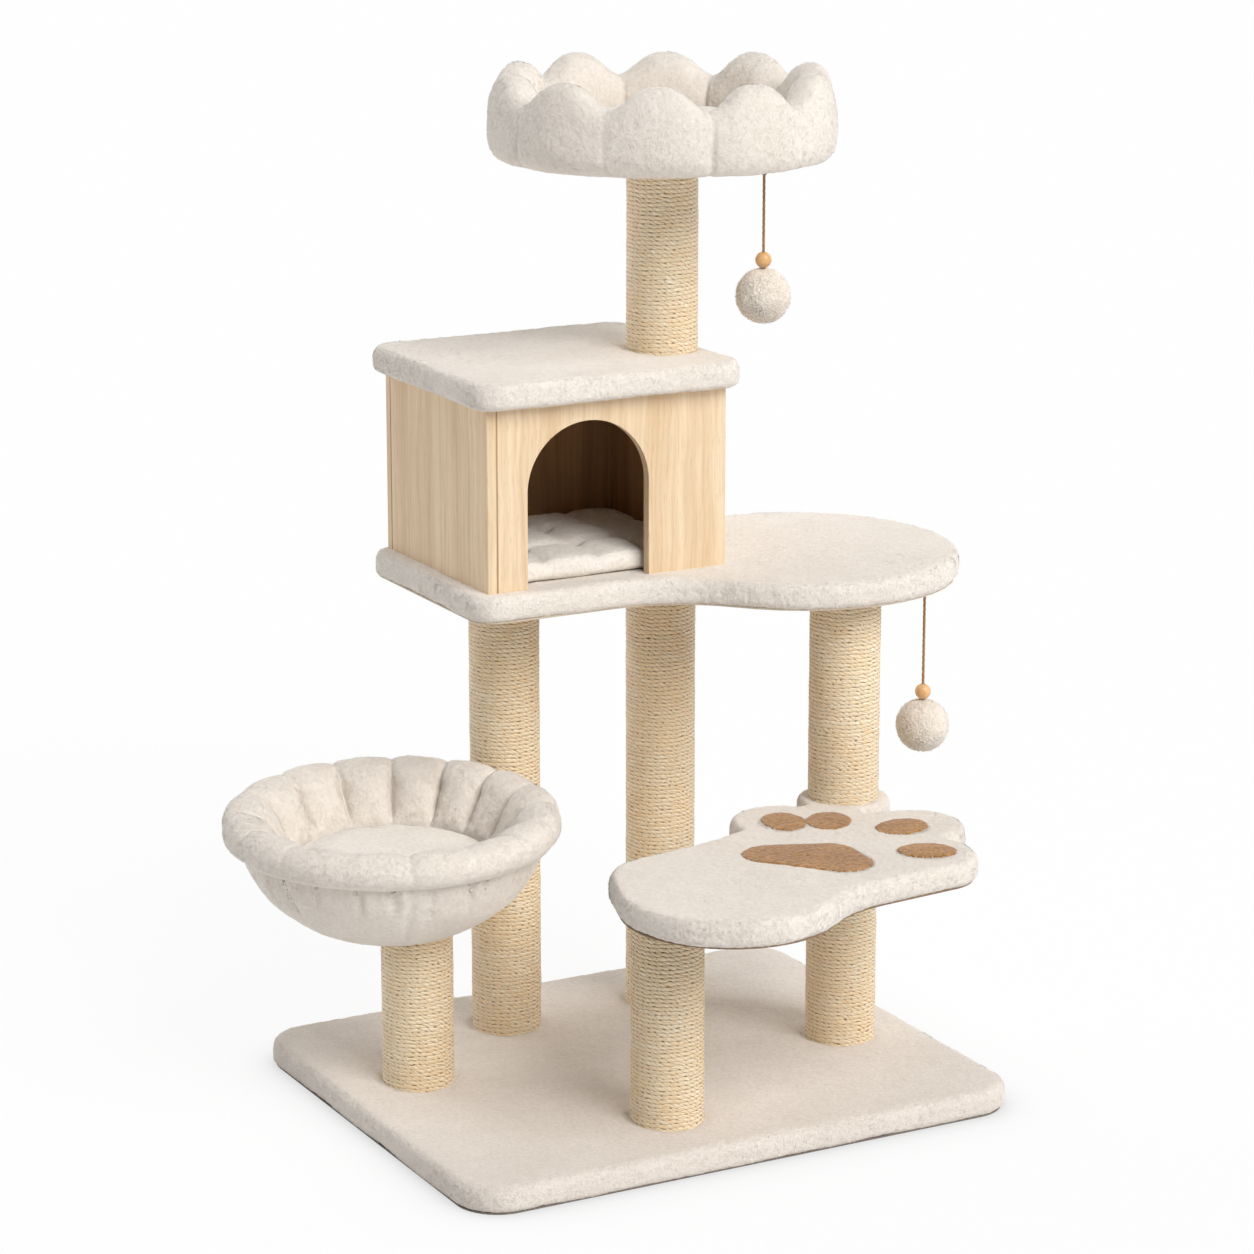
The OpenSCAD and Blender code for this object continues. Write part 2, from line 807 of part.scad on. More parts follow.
// padding between the bowl's cloth and the cushion, and up the inside to the rim
module basket_lining() {
    step = bowl_cloth_t + layer_gap;
    color("antiquewhite") translate([basket_at[0], basket_at[1], 0]) difference() {
        rotate_extrude() polygon(concat(
            [for (i = [bowl_steps - 1 : -1 : 0]) [bowl_r(bowl_z(i)) - step, bowl_z(i)]],
            [[rim_ring_r - step, rim_z], [rim_ring_r - rim_r, rim_z],
                [basket_floor_r + layer_gap, basket_floor_z],
                [basket_board_r + 2 * layer_gap, bowl_z(bowl_steps - 1)]]
        ));
        rim_shape(layer_gap);
    }
}

module basket_rim() {
    color("antiquewhite") translate([basket_at[0], basket_at[1], 0]) difference() {
        rim_shape(0);
        rotate_extrude() translate([rim_ring_r, rim_z]) circle(hoop_d / 2 + layer_gap, $fn = 24);
    }
}

module basket_hoop() {
    color("silver") translate([basket_at[0], basket_at[1], 0])
        rotate_extrude() translate([rim_ring_r, rim_z]) circle(hoop_d / 2, $fn = 24);
}

module basket_cushion() {
    foot_z = basket_board_z + basket_board_t;
    color("ivory") translate([basket_at[0], basket_at[1], foot_z])
        cylinder(r1 = basket_board_r, r2 = basket_floor_r, h = basket_floor_z - foot_z);
}

module basket_bolt() {
    color("silver") bolts_down([basket_post], basket_board_z + basket_board_t, basket_board_t);
}

// ---- toys ----

// the two legs of a staple, driven up from its bar
module staple_legs(at, z, turn, gap) {
    w = leg_w + 2 * gap;
    translate([at[0], at[1], z]) rotate(turn) for (y = [-1, 1])
        translate([-w / 2, y * staple_half_w - w / 2, -w / 2]) cube([w, w, bar_drop + staple_leg + w]);
}

// a staple with its bar across the way that the toy swings out
module staple(at, z, turn) {
    staple_legs(at, z, turn, 0);
    translate([at[0], at[1], z]) rotate(turn) rotate([90, 0, 0])
        cylinder(r = bar_r, h = 2 * staple_half_w, center = true, $fn = 24);
}

module toy_staples() {
    color("silver") {
        staple(bed_toy, bed_pivot_z, bed_toy_turn);
        staple(deck_toy, deck_pivot_z, deck_toy_turn);
    }
}

// a loop of string that turns on the staple's bar
module toy_loop(at, z, turn) {
    color("sienna") translate([at[0], at[1], z]) rotate(turn) rotate([90, 0, 0])
        rotate_extrude($fn = 32) translate([loop_r - loop_wire_r, 0]) circle(loop_wire_r, $fn = 16);
}

// a tube of eight sides swept straight down through rings at a list of depths
module string_tube(depths) {
    n = 8;
    rings = len(depths);
    points = [for (d = depths, k = [0 : n - 1])
        [string_d / 2 * cos(k * 360 / n), string_d / 2 * sin(k * 360 / n), -d]];
    sides = [for (i = [0 : rings - 2], k = [0 : n - 1])
        [i * n + k, i * n + (k + 1) % n, (i + 1) * n + (k + 1) % n, (i + 1) * n + k]];
    top = [[for (k = [n - 1 : -1 : 0]) k]];
    bottom = [[for (k = [0 : n - 1]) (rings - 1) * n + k]];
    polyhedron(points, concat(sides, top, bottom));
}

// the toy's own string: from below the loop, through the bead and into the pompom
module toy_string(at, z, len) {
    total = len + bead_d + string_tail;
    steps = ceil(total / string_step);
    color("sienna") translate([at[0], at[1], z])
        string_tube([for (i = [0 : steps]) string_top + total * i / steps]);
}

module toy_bead(at, z, len) {
    color("goldenrod") translate([at[0], at[1], z - string_top - len - bead_d / 2]) difference() {
        sphere(d = bead_d);
        cylinder(r = string_d / 2 + bolt_gap, h = bead_d + 2, center = true);
        // the pompom's fluff fills the bead's underside
        translate([0, 0, -bead_d / 2 - pompom_d / 2 + pompom_sink]) sphere(d = pompom_d + 2 * bolt_gap);
    }
}

module toy_pompom(at, z, len) {
    mid = string_top + len + bead_d + pompom_d / 2 - pompom_sink;
    color("ivory") translate([at[0], at[1], z - mid]) difference() {
        sphere(d = pompom_d);
        translate([0, 0, pompom_d / 2 - string_tail - pompom_sink - 1])
            cylinder(r = string_d / 2 + bolt_gap, h = string_tail + pompom_sink + 2);
    }
}

module bed_toy_loop() toy_loop(bed_toy, bed_pivot_z, bed_toy_turn);
module bed_toy_string() toy_string(bed_toy, bed_pivot_z, bed_string_len);
module bed_toy_bead() toy_bead(bed_toy, bed_pivot_z, bed_string_len);
module bed_toy_pompom() toy_pompom(bed_toy, bed_pivot_z, bed_string_len);
module deck_toy_loop() toy_loop(deck_toy, deck_pivot_z, deck_toy_turn);
module deck_toy_string() toy_string(deck_toy, deck_pivot_z, deck_string_len);
module deck_toy_bead() toy_bead(deck_toy, deck_pivot_z, deck_string_len);
module deck_toy_pompom() toy_pompom(deck_toy, deck_pivot_z, deck_string_len);

base_backing();
base_board();
base_cover();
base_bolts();
basket_post_tube();
basket_post_rope();
rear_left_post_tube();
rear_left_post_rope();
rear_right_post_tube();
rear_right_post_rope();
right_lower_post_tube();
right_lower_post_rope();
right_upper_post_tube();
right_upper_post_rope();
front_post_tube();
front_post_rope();
bed_post_tube();
bed_post_rope();
post_end_plugs();
paw_backing();
paw_board();
paw_cover();
paw_toe_pads();
paw_palm_pad();
paw_bolts();
deck_backing();
deck_board();
deck_cover();
deck_bolts();
house_front_panel();
house_left_panel();
house_back_panel();
house_right_panel();
house_screws_in_deck();
house_cushion();
roof_board();
roof_cover();
roof_braces();
roof_brace_screws();
bed_post_bolts();
bed_board();
bed_shell();
bed_cushion();
basket_board();
basket_bowl();
basket_lining();
basket_rim();
basket_hoop();
basket_cushion();
basket_bolt();
toy_staples();
bed_toy_loop();
bed_toy_string();
bed_toy_bead();
bed_toy_pompom();
deck_toy_loop();
deck_toy_string();
deck_toy_bead();
deck_toy_pompom();
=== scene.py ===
import bpy, bmesh, math
import numpy as np
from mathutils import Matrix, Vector


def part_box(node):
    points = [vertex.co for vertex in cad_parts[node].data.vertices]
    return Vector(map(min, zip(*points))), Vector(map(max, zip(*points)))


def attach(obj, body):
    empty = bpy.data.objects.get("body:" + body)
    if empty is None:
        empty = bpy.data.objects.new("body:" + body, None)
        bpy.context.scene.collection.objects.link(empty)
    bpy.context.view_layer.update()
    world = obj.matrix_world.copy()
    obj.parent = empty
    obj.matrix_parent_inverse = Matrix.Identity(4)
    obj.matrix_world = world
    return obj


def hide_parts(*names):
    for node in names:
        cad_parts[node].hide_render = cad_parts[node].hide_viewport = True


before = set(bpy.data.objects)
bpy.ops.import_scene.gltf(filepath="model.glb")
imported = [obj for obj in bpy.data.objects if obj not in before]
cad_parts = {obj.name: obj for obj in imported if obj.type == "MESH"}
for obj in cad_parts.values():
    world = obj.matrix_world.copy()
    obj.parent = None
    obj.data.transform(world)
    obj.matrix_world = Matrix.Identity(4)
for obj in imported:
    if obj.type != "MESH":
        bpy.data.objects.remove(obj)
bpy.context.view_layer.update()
tau = 2 * math.pi
print("frame loaded")

# the camera: where it stands, which way round and how far up it is in degrees, and its lens in millimetres
view = {"place": (-2.048, -3.775, 1.635), "turn": -118.38, "height": 14.46, "lens": 116.76}


def placed(name, data):
    # a new object in the scene
    obj = bpy.data.objects.new(name, data)
    bpy.context.scene.collection.objects.link(obj)
    return obj


def aimed(obj, turn, height):
    # a camera or lamp that looks back at the middle from this far round and this far up, in degrees
    a, e = math.radians(turn), math.radians(height)
    back = Vector((math.cos(a) * math.cos(e), math.sin(a) * math.cos(e), math.sin(e)))
    obj.rotation_mode = "QUATERNION"
    obj.rotation_quaternion = back.to_track_quat("Z", "Y")
    return obj


def makeCamera():
    data = bpy.data.cameras.new("camera")
    data.sensor_width = 36
    data.lens = view["lens"]
    data.clip_end = 100
    cam = aimed(placed("camera", data), view["turn"], view["height"])
    cam.location = view["place"]
    bpy.context.scene.camera = cam


makeCamera()


def facing(center):
    # the way round an upright piece that its front looks
    return math.atan2(view["place"][1] - center[1], view["place"][0] - center[0])


def anglesRound(count):
    return np.arange(count) / count * tau


def shortest(angle):
    # the same turn, taken the short way round
    return (angle + math.pi) % tau - math.pi


def unit(vectors):
    return vectors / (np.linalg.norm(vectors, axis=-1)[..., None] + 1e-12)


def hill(off, wide):
    # 1 in the middle of a crease or ridge, falling away smoothly on both sides
    return np.exp(-(off / wide) ** 2)


def softNoise(points, size, seed):
    # smooth noise from -1 to 1, with lumps about as wide as size
    table = np.random.RandomState(seed).uniform(-1, 1, 4096)  # a power of two long, for the & below
    q = np.asarray(points, float) / size
    cell = np.floor(q).astype(np.int64)
    f = q - cell
    f = f * f * (3 - 2 * f)
    total = 0
    for dx, dy, dz in np.ndindex(2, 2, 2):
        # large primes mix the cell's three numbers into one place in the table
        key = (cell[..., 0] + dx) * 73856093
        key = key ^ ((cell[..., 1] + dy) * 19349663)
        key = key ^ ((cell[..., 2] + dz) * 83492791)
        weight = np.abs(1 - dx - f[..., 0]) * np.abs(1 - dy - f[..., 1])
        total = total + table[key & (len(table) - 1)] * weight * np.abs(1 - dz - f[..., 2])
    return total


def layered(points, layers, seed=0):
    # noise in layers, each with its depth, the width of its lumps and its own seed
    return sum(deep * softNoise(points, wide, seed + own) for deep, wide, own in layers)


def addPiece(name, mesh, finish, replaces=(), body="frame"):
    # a smooth new piece that rides on a body and may stand for pieces of the frame
    mesh.name = name
    mesh.materials.append(finishes[finish])
    mesh.polygons.foreach_set("use_smooth", np.ones(len(mesh.polygons), bool))
    obj = placed(name, mesh)
    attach(obj, body)
    if replaces:
        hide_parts(*replaces)
    return obj


def meshFrom(name, points, faces):
    mesh = bpy.data.meshes.new(name)
    mesh.from_pydata(np.asarray(points, float).reshape(-1, 3).tolist(), [], faces)
    mesh.update()
    return mesh


def gridMesh(name, points, loop=False, uv=None):
    # a skin of quads over a grid of points; u runs round the piece
    # and v runs along it, either back to its start or from one cap to the other
    nu, nv = points.shape[:2]
    i, j = np.meshgrid(np.arange(nu), np.arange(nv if loop else nv - 1), indexing="ij")
    i, j = i.ravel(), j.ravel()
    i2, j2 = (i + 1) % nu, (j + 1) % nv
    faces = np.stack([i * nv + j, i2 * nv + j, i2 * nv + j2, i * nv + j2], -1).tolist()
    if not loop:
        faces.append([k * nv for k in range(nu - 1, -1, -1)])
        faces.append([k * nv + nv - 1 for k in range(nu)])
    mesh = meshFrom(name, points, faces)
    if uv is not None:
        us, vs = np.stack([i, i + 1, i + 1, i], -1).ravel(), np.stack([j, j, j + 1, j + 1], -1).ravel()
        corner = np.stack([us / nu * uv[0], vs / nv * uv[1]], -1)
        mesh.uv_layers.new(name="UVMap").data.foreach_set("uv", corner.ravel())
    return mesh


def readPoints(mesh):
    co = np.zeros(len(mesh.vertices) * 3)
    mesh.vertices.foreach_get("co", co)
    return co.reshape(-1, 3)


def readNormals(mesh):
    no = np.zeros(len(mesh.vertices) * 3, np.float32)
    mesh.vertex_normals.foreach_get("vector", no)
    return no.reshape(-1, 3).astype(float)


def writePoints(mesh, co):
    mesh.vertices.foreach_set("co", co.ravel())
    mesh.update()


def settled(obj):
    # the mesh that an object's modifiers give, without the object
    done = bpy.data.meshes.new_from_object(obj.evaluated_get(bpy.context.evaluated_depsgraph_get()))
    bpy.data.objects.remove(obj)
    return done


def remeshed(mesh, voxel):
    # the same form as an even skin of small quads, with its edges softened
    obj = placed("work", mesh)
    even = obj.modifiers.new("even", "REMESH")
    even.mode = "VOXEL"
    even.voxel_size = voxel
    soft = obj.modifiers.new("soft", "SMOOTH")
    soft.factor = 0.5
    soft.iterations = 2
    return settled(obj)


# how uneven plush is: layers of tufts and clumps, what each point strays, and the wide lumps under them
ruffle = {"tufts": ((0.6, 0.0045, 0), (0.55, 0.011, 1)), "stray": 0.5, "lumpWide": 0.05}


def ruffleNap(mesh, depth, seed, lump=0.0):
    # the uneven surface of plush: fine tufts, with broad lumps under them
    co, no = readPoints(mesh), readNormals(mesh)
    push = depth * layered(co, ruffle["tufts"], seed)
    push = push + depth * ruffle["stray"] * np.random.RandomState(seed).uniform(-1, 1, len(co))
    push = push + lump * softNoise(co, ruffle["lumpWide"], seed + 2)
    writePoints(mesh, co + no * push[:, None])


def linear(color):
    # a colour as it is seen on a screen, from 0 to 255, in the light values that shaders use
    return tuple((c / 255 / 12.92) if c <= 10 else ((c / 255 + 0.055) / 1.055) ** 2.4 for c in color)


class NodeTree:
    # short names for the few node moves that every finish, the floor and the world use
    def __init__(self, owner, shader="Principled BSDF"):
        self.owner = owner
        owner.use_nodes = True
        self.nodes, self.links = owner.node_tree.nodes, owner.node_tree.links
        self.shader = self.nodes[shader]

    def add(self, kind, inputs, **settings):
        node = self.nodes.new("ShaderNode" + kind)
        for key, value in settings.items():
            setattr(node, key, value)
        for key, value in inputs.items():
            self.feed(node.inputs[key], value)
        return node

    def feed(self, socket, value):
        if isinstance(value, bpy.types.NodeSocket):
            self.links.new(value, socket)
        elif isinstance(value, bpy.types.Node):
            self.links.new(value.outputs[0], socket)
        elif isinstance(value, tuple) and len(value) == 3 and socket.type == "RGBA":
            socket.default_value = (*linear(value), 1)
        else:
            socket.default_value = value

    def place(self, kind="Object"):
        # where a point is on the piece, in metres, or on the piece's own map
        return self.add("TexCoord", {}).outputs[kind]

    def math(self, how, a, b=0.0):
        return self.add("Math", {0: a, 1: b}, operation=how).outputs[0]

    def plus(self, a, b):
        return self.math("ADD", a, b)

    def times(self, a, b):
        return self.math("MULTIPLY", a, b)

    def mix(self, amount, a, b):
        # sockets 6 and 7 take the two colours, and output 2 gives their mix
        return self.add("Mix", {0: amount, 6: a, 7: b}, data_type="RGBA").outputs[2]

    def noiseAt(self, where, scale, detail, rough):
        inputs = {"Vector": where, "Scale": scale, "Detail": detail, "Roughness": rough}
        return self.add("TexNoise", inputs).outputs["Fac"]

    def noise(self, where, size, detail=2.0, rough=0.5):
        # size is the width of a lump in metres
        return self.noiseAt(where, 0.5 / size, detail, rough)

    def stretch(self, where, scale):
        return self.add("Mapping", {"Vector": where, "Scale": scale}).outputs[0]

    def limit(self, value, low, high):
        # 0 at low and 1 at high, and no further either way
        return self.add("MapRange", {"Value": value, "From Min": low, "From Max": high}).outputs[0]

    def bump(self, height, strength, distance, under=None):
        node = self.add("Bump", {"Height": height, "Strength": strength, "Distance": distance})
        if under:
            self.feed(node.inputs["Normal"], under)
        return node.outputs[0]

    def finish(self, color, roughness, normal=None, **constants):
        self.feed(self.shader.inputs["Base Color"], color)
        self.feed(self.shader.inputs["Roughness"], roughness)
        if normal:
            self.feed(self.shader.inputs["Normal"], normal)
        for key, value in constants.items():
            self.feed(self.shader.inputs[key.replace("_", " ")], value)
        return self.owner


# colours are written as they are seen on a screen, from 0 to 255
# light and dark tones of each plush; the pile is lighter than its cloth, because its tips catch the light
plush = {
    "cream": ((238, 230, 221), (222, 212, 200)),
    "base": ((229, 220, 211), (211, 201, 190)),
    "brown": ((204, 152, 88), (134, 88, 42)),
    "pile": ((247, 240, 231), (234, 225, 214)),
    "basePile": ((240, 232, 223), (224, 214, 203)),
    "fluff": ((246, 237, 225), (232, 219, 203)),
    "cushion": ((246, 240, 231), (226, 217, 206)),
    "patchWide": 0.035, "strokeWide": 0.014, "fibreWide": 0.0009, "tuftRise": 0.0018,
}


def plushCloth(name, tones, tuft=0.0022, relief=0.5):
    light, dark = tones
    t = NodeTree(bpy.data.materials.new(name))
    where = t.place()
    broad = t.noise(where, plush["patchWide"], 3.0, 0.6)
    strokes = t.noise(t.stretch(where, (1.0, 2.6, 1.4)), plush["strokeWide"], 2.0, 0.55)
    tufts = t.noise(where, tuft, 3.0, 0.65)
    fibres = t.noise(t.stretch(where, (1.0, 1.0, 0.45)), plush["fibreWide"], 1.0)
    shade = t.plus(t.times(broad, 0.28), t.times(strokes, 0.12))
    shade = t.plus(shade, t.times(tufts, 0.55))
    color = t.mix(t.limit(shade, 0.31, 0.63), dark, light)
    color = t.mix(t.times(t.limit(tufts, 0.5, 0.3), 0.3), color, dark)  # painted shade, darker between the tufts
    normal = t.bump(fibres, 0.25 * relief, 0.0006)
    normal = t.bump(tufts, 1.3 * relief, plush["tuftRise"], normal)
    normal = t.bump(strokes, 0.25 * relief, 0.003, normal)
    return t.finish(color, 0.95, normal, Sheen_Weight=0.35, Sheen_Roughness=0.45, Specular_IOR_Level=0.15)


# the sisal rope: its windings, its strands, how they bulge, drift and wander, and its colours, with the
# painted shade of its grooves
rope = {"pitch": 0.0047, "groove": 0.0010, "strand": 0.0008, "strands": 30, "slant": 1.1, "sunk": 0.0002,
        "wander": 0.17, "bulge": 0.4, "climb": 900, "drift": 1.3, "driftWide": 0.009,
        "rough": ((0.0002, 0.004, 11), (0.0003, 0.02, 12)),  # layers of noise
        "columns": 168, "rows": 5, "thick": 0.005, "light": (255, 252, 234), "dark": (240, 203, 146),
        "tan": (248, 214, 160), "grooveShade": (126, 76, 32), "patches": 0.28, "tones": 0.28}


def sisalFinish():
    # the mesh's own map: u counts turns round the post, v counts rope turns up it
    t = NodeTree(bpy.data.materials.new("sisal"))
    spot = t.place("UV")
    where = t.place()
    part = t.add("SeparateXYZ", {0: spot})
    u, v = part.outputs[0], part.outputs[1]
    turn = t.math("SUBTRACT", v, u)
    across = t.math("SUBTRACT", t.math("FRACT", turn), 0.5)
    grooveShade = t.limit(t.math("ABSOLUTE", across), 0.33, 0.5)  # the groove between two turns, where painted shade goes
    stray = t.times(t.math("SUBTRACT", t.noise(where, 0.006), 0.5), 2.2)
    twist = t.plus(t.times(u, rope["strands"]), t.times(across, rope["slant"]))
    twist = t.plus(twist, stray)
    wave = t.math("ABSOLUTE", t.math("SINE", t.times(twist, math.pi)))
    seam = t.limit(wave, 0.4, 0.0)  # the line between two strands, darkened with painted shade
    row = t.math("FLOOR", turn)
    cell = t.add("CombineXYZ", {0: t.math("FLOOR", twist), 1: row, 2: 0.0})
    strand = t.add("TexWhiteNoise", {"Vector": cell}).outputs["Value"]  # each has its own tone
    along = t.add("CombineXYZ", {0: t.times(u, 60.0), 1: t.times(twist, 3.0), 2: row})
    hairs = t.noiseAt(along, 1.3, 3.0, 0.65)
    patches = t.noise(where, 0.016)
    color = t.mix(t.limit(hairs, 0.3, 0.68), rope["dark"], rope["light"])
    color = t.mix(t.times(t.limit(patches, 0.4, 0.65), rope["patches"]), color, rope["tan"])
    color = t.mix(t.times(strand, rope["tones"]), color, rope["dark"])
    deep = t.times(grooveShade, t.plus(t.times(seam, 0.6), 0.42))
    deep = t.plus(deep, t.times(seam, 0.5))
    # painted shade: the grooves and the lines between strands turn dark brown, the deeper the darker
    color = t.mix(t.limit(deep, 0.0, 1.05), color, rope["grooveShade"])
    normal = t.bump(hairs, 0.5, 0.0006)
    normal = t.bump(t.math("SUBTRACT", 1.0, deep), 0.65, 0.0017, normal)
    return t.finish(color, 0.44, normal, Specular_IOR_Level=0.9)


# each grain is its stretch along the wood, its fineness and its detail
wood = {"streaks": (0.03, 230.0, 3.0), "bands": (0.02, 38.0, 2.0), "pores": (0.07, 700.0, 2.0),
        "bend": 0.022, "rings": 46.0, "ringShade": 0.18, "poreShade": 0.34}

# the room inside the house's four walls, where the wood is painted darker as shade
panelThick = 0.012
left, right, front, back = (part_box("house_%s_panel" % side) for side in ("left", "right", "front", "back"))
inset = Vector((panelThick - 0.0005,) * 3)
house = {"low": Vector((left[0].x, front[0].y, left[0].z)) + inset,
         "high": Vector((right[1].x, back[1].y, left[1].z)) - inset,
         "joint": 0.0008, "dark": (160, 120, 80), "light": (186, 145, 101)}


def woodFinish(name, light, dark, line, inside=None, roughness=0.55):
    t = NodeTree(bpy.data.materials.new(name))
    where = t.place()
    x, y, z = t.add("SeparateXYZ", {0: where}).outputs
    bend = t.times(t.noise(t.stretch(where, (1.0, 1.0, 0.5)), 0.05), wood["bend"])
    across = t.plus(t.plus(x, y), bend)  # each wall is flat in x or in y, so this runs across its grain

    def grain(lengthwise, scale, detail):
        at = t.add("CombineXYZ", {0: across, 1: t.times(z, lengthwise), 2: 0.0})
        return t.noiseAt(at, scale, detail, 0.55)

    streaks, bands, pores = (grain(*wood[kind]) for kind in ("streaks", "bands", "pores"))
    rings = t.times(t.plus(bands, t.times(streaks, 0.12)), wood["rings"])
    rings = t.math("ABSOLUTE", t.math("SINE", rings))
    tone = t.plus(t.times(streaks, 0.4), t.times(bands, 0.6))
    color = t.mix(t.limit(tone, 0.38, 0.6), dark, light)
    color = t.mix(t.times(t.limit(rings, 0.3, 0.0), wood["ringShade"]), color, line)
    color = t.mix(t.times(t.limit(pores, 0.56, 0.74), wood["poreShade"]), color, line)
    if inside:
        low, high = inside["low"], inside["high"]
        # the line where one wall's end meets the next wall's face
        corners = ((x, low.x, y, low.y, "LESS_THAN"), (x, high.x, y, high.y, "GREATER_THAN"),
                   (y, high.y, x, low.x, "LESS_THAN"), (y, low.y, x, high.x, "GREATER_THAN"))
        for value, joint, other, face, way in corners:
            off = t.math("ABSOLUTE", t.math("SUBTRACT", value, joint))
            gap = t.limit(off, inside["joint"] * 1.8, inside["joint"] * 0.6)
            gap = t.times(gap, t.math(way, other, face))
            color = t.mix(t.times(gap, 0.75), color, inside["dark"])
        # inside the room the wood takes darker tones, painted shade
        roomShade = 1.0
        for value, least, most in ((x, low.x, high.x), (y, low.y, high.y)):
            roomShade = t.times(roomShade, t.math("GREATER_THAN", value, least))
            roomShade = t.times(roomShade, t.math("LESS_THAN", value, most))
        color = t.mix(roomShade, color, t.mix(t.limit(tone, 0.38, 0.6), inside["dark"], inside["light"]))
    normal = t.bump(streaks, 0.12, 0.0004)
    normal = t.bump(pores, 0.15, 0.0003, normal)
    return t.finish(color, roughness, normal, Specular_IOR_Level=0.35)


def juteFinish():
    t = NodeTree(bpy.data.materials.new("jute"))
    where = t.place()
    fibres = t.noise(t.stretch(where, (1.0, 1.0, 0.3)), 0.0005, 3.0, 0.7)
    patches = t.noise(where, 0.006)
    color = t.mix(t.limit(fibres, 0.35, 0.65), (134, 98, 62), (186, 148, 104))
    color = t.mix(t.times(patches, 0.35), color, (156, 116, 76))
    return t.finish(color, 0.85, t.bump(fibres, 0.6, 0.0004), Specular_IOR_Level=0.2)


def plainFinish(name, light, dark, size, roughness, metal=0.0, relief=0.2):
    t = NodeTree(bpy.data.materials.new(name))
    mottle = t.noise(t.place(), size, 4.0, 0.6)
    color = t.mix(t.limit(mottle, 0.35, 0.65), dark, light)
    normal = t.bump(mottle, relief, size * 0.3)
    return t.finish(color, roughness, normal, Metallic=metal)


finishes = {
    "cream": plushCloth("creamPlush", plush["cream"]),
    "base": plushCloth("basePlush", plush["base"]),
    "brown": plushCloth("brownPlush", plush["brown"], 0.0022, 1.3),
    "pile": plushCloth("creamPile", plush["pile"]),
    "basePile": plushCloth("basePile", plush["basePile"]),
    "fluff": plushCloth("pompomFluff", plush["fluff"], 0.0015, 0.8),
    "sisal": sisalFinish(),
    "cushion": plushCloth("cushionPlush", plush["cushion"], 0.0024, 0.7),
    "jute": juteFinish(),
    "wall": woodFinish("lightWood", (236, 213, 181), (216, 186, 148), (184, 147, 106), house),
    "board": plainFinish("rawBoard", (214, 190, 152), (188, 160, 122), 0.003, 0.85),
    "plug": plainFinish("plugWood", (206, 176, 134), (180, 148, 108), 0.004, 0.8),
    "card": plainFinish("cardTube", (196, 166, 124), (178, 148, 108), 0.004, 0.9),
    "felt": plainFinish("greyFelt", (132, 122, 114), (104, 95, 88), 0.0012, 0.95),
    "brownFelt": plainFinish("brownFelt", (150, 124, 98), (122, 98, 76), 0.0012, 0.95),
    "paleFelt": plainFinish("paleFelt", (206, 192, 174), (186, 170, 150), 0.0012, 0.95),
    "steel": plainFinish("zincSteel", (190, 190, 188), (168, 168, 166), 0.002, 0.35, 1.0, 0.05),
    "bead": woodFinish("beadWood", (232, 188, 136), (210, 162, 108), (172, 122, 74), roughness=0.32),
}


def dressFrame():
    # the frame's own pieces get their finish by the end of their name
    endings = {"_panel": "wall", "_board": "board", "_tube": "card", "plugs": "plug",
               "base_backing": "felt", "paw_backing": "brownFelt", "deck_backing": "paleFelt"}
    for name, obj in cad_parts.items():
        finish = next((endings[end] for end in endings if name.endswith(end)), "steel")
        obj.data.materials.clear()
        obj.data.materials.append(finishes[finish])


dressFrame()
print("finishes made")


def splinePath(points, perPart):
    # a smooth path through rows of values, perPart steps from each row to the next
    p = np.vstack([2 * points[:1] - points[1:2], points, 2 * points[-1:] - points[-2:-1]])
    t = np.arange(perPart)[:, None] / perPart
    parts = []
    for k in range(len(points) - 1):
        a, b, c, d = (p[k + n][None] for n in range(4))
        parts.append(0.5 * (2 * b + (c - a) * t + (2 * a - 5 * b + 4 * c - d) * t ** 2
                            + (3 * b - a - 3 * c + d) * t ** 3))
    return np.vstack(parts + [points[-1:]])


def turned(center, angle, section):
    # a section of (radius, height) pairs for every angle, set round an upright axis
    a = angle[:, None]
    r, z = section[..., 0], section[..., 1]
    return np.stack([center[0] + r * np.cos(a), center[1] + r * np.sin(a), z + 0 * a], -1)


def swelled(points, amount):
    # move a turned skin out by amount along its own normals
    du = np.roll(points, -1, 0) - np.roll(points, 1, 0)
    dv = np.roll(points, -1, 1) - np.roll(points, 1, 1)
    return points - unit(np.cross(du, dv)) * amount[..., None]


def middleOf(node):
    low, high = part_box(node)
    return (low + high) / 2, low, high


def leaning(rand, out, way, look):
    # points of pile lie the given way along the cloth, each lifted and turned a little
    way = unit(way - out * np.sum(way * out, -1)[:, None])
    lift = rand.uniform(*look["lift"], (len(out), 1))
    return unit(out * lift + way * np.sqrt(1 - lift ** 2) + rand.normal(0, look["stray"], out.shape))


# the pile: how long and wide a point of it is, how far it stands up, and how much thicker it grows at edges
napLook = {"wide": 0.0011, "long": 0.0028, "thick": 0.28, "sunk": 0.0002, "lift": (0.05, 0.28), "stray": 0.12,
           "edge": 12.0, "collar": 12.0, "collarWide": 0.005, "level": 0.92, "under": -0.55}


def addTufts(name, at, out, lean, long, wide, finish, body="frame", lit=None):
    # one small closed point of pile at each place, lit as the cloth under it is
    side = unit(np.cross(out, lean))
    other = np.cross(lean, side)
    root = at - out * napLook["sunk"]
    corners = np.stack([root + side * wide / 2, root - side * wide / 2,
                        root + other * wide * napLook["thick"], at + lean * long], 1)
    first = np.arange(len(at))[:, None] * 4
    faces = np.concatenate([first + np.array(f) for f in ((0, 1, 2), (0, 2, 3), (2, 1, 3), (1, 0, 3))])
    mesh = meshFrom(name, corners, faces.tolist())
    piece = addPiece(name, mesh, finish, body=body)
    lit = np.repeat(out, 4, 0) if lit is None else lit
    mesh.normals_split_custom_set_from_vertices(lit.reshape(-1, 3).tolist())
    return piece


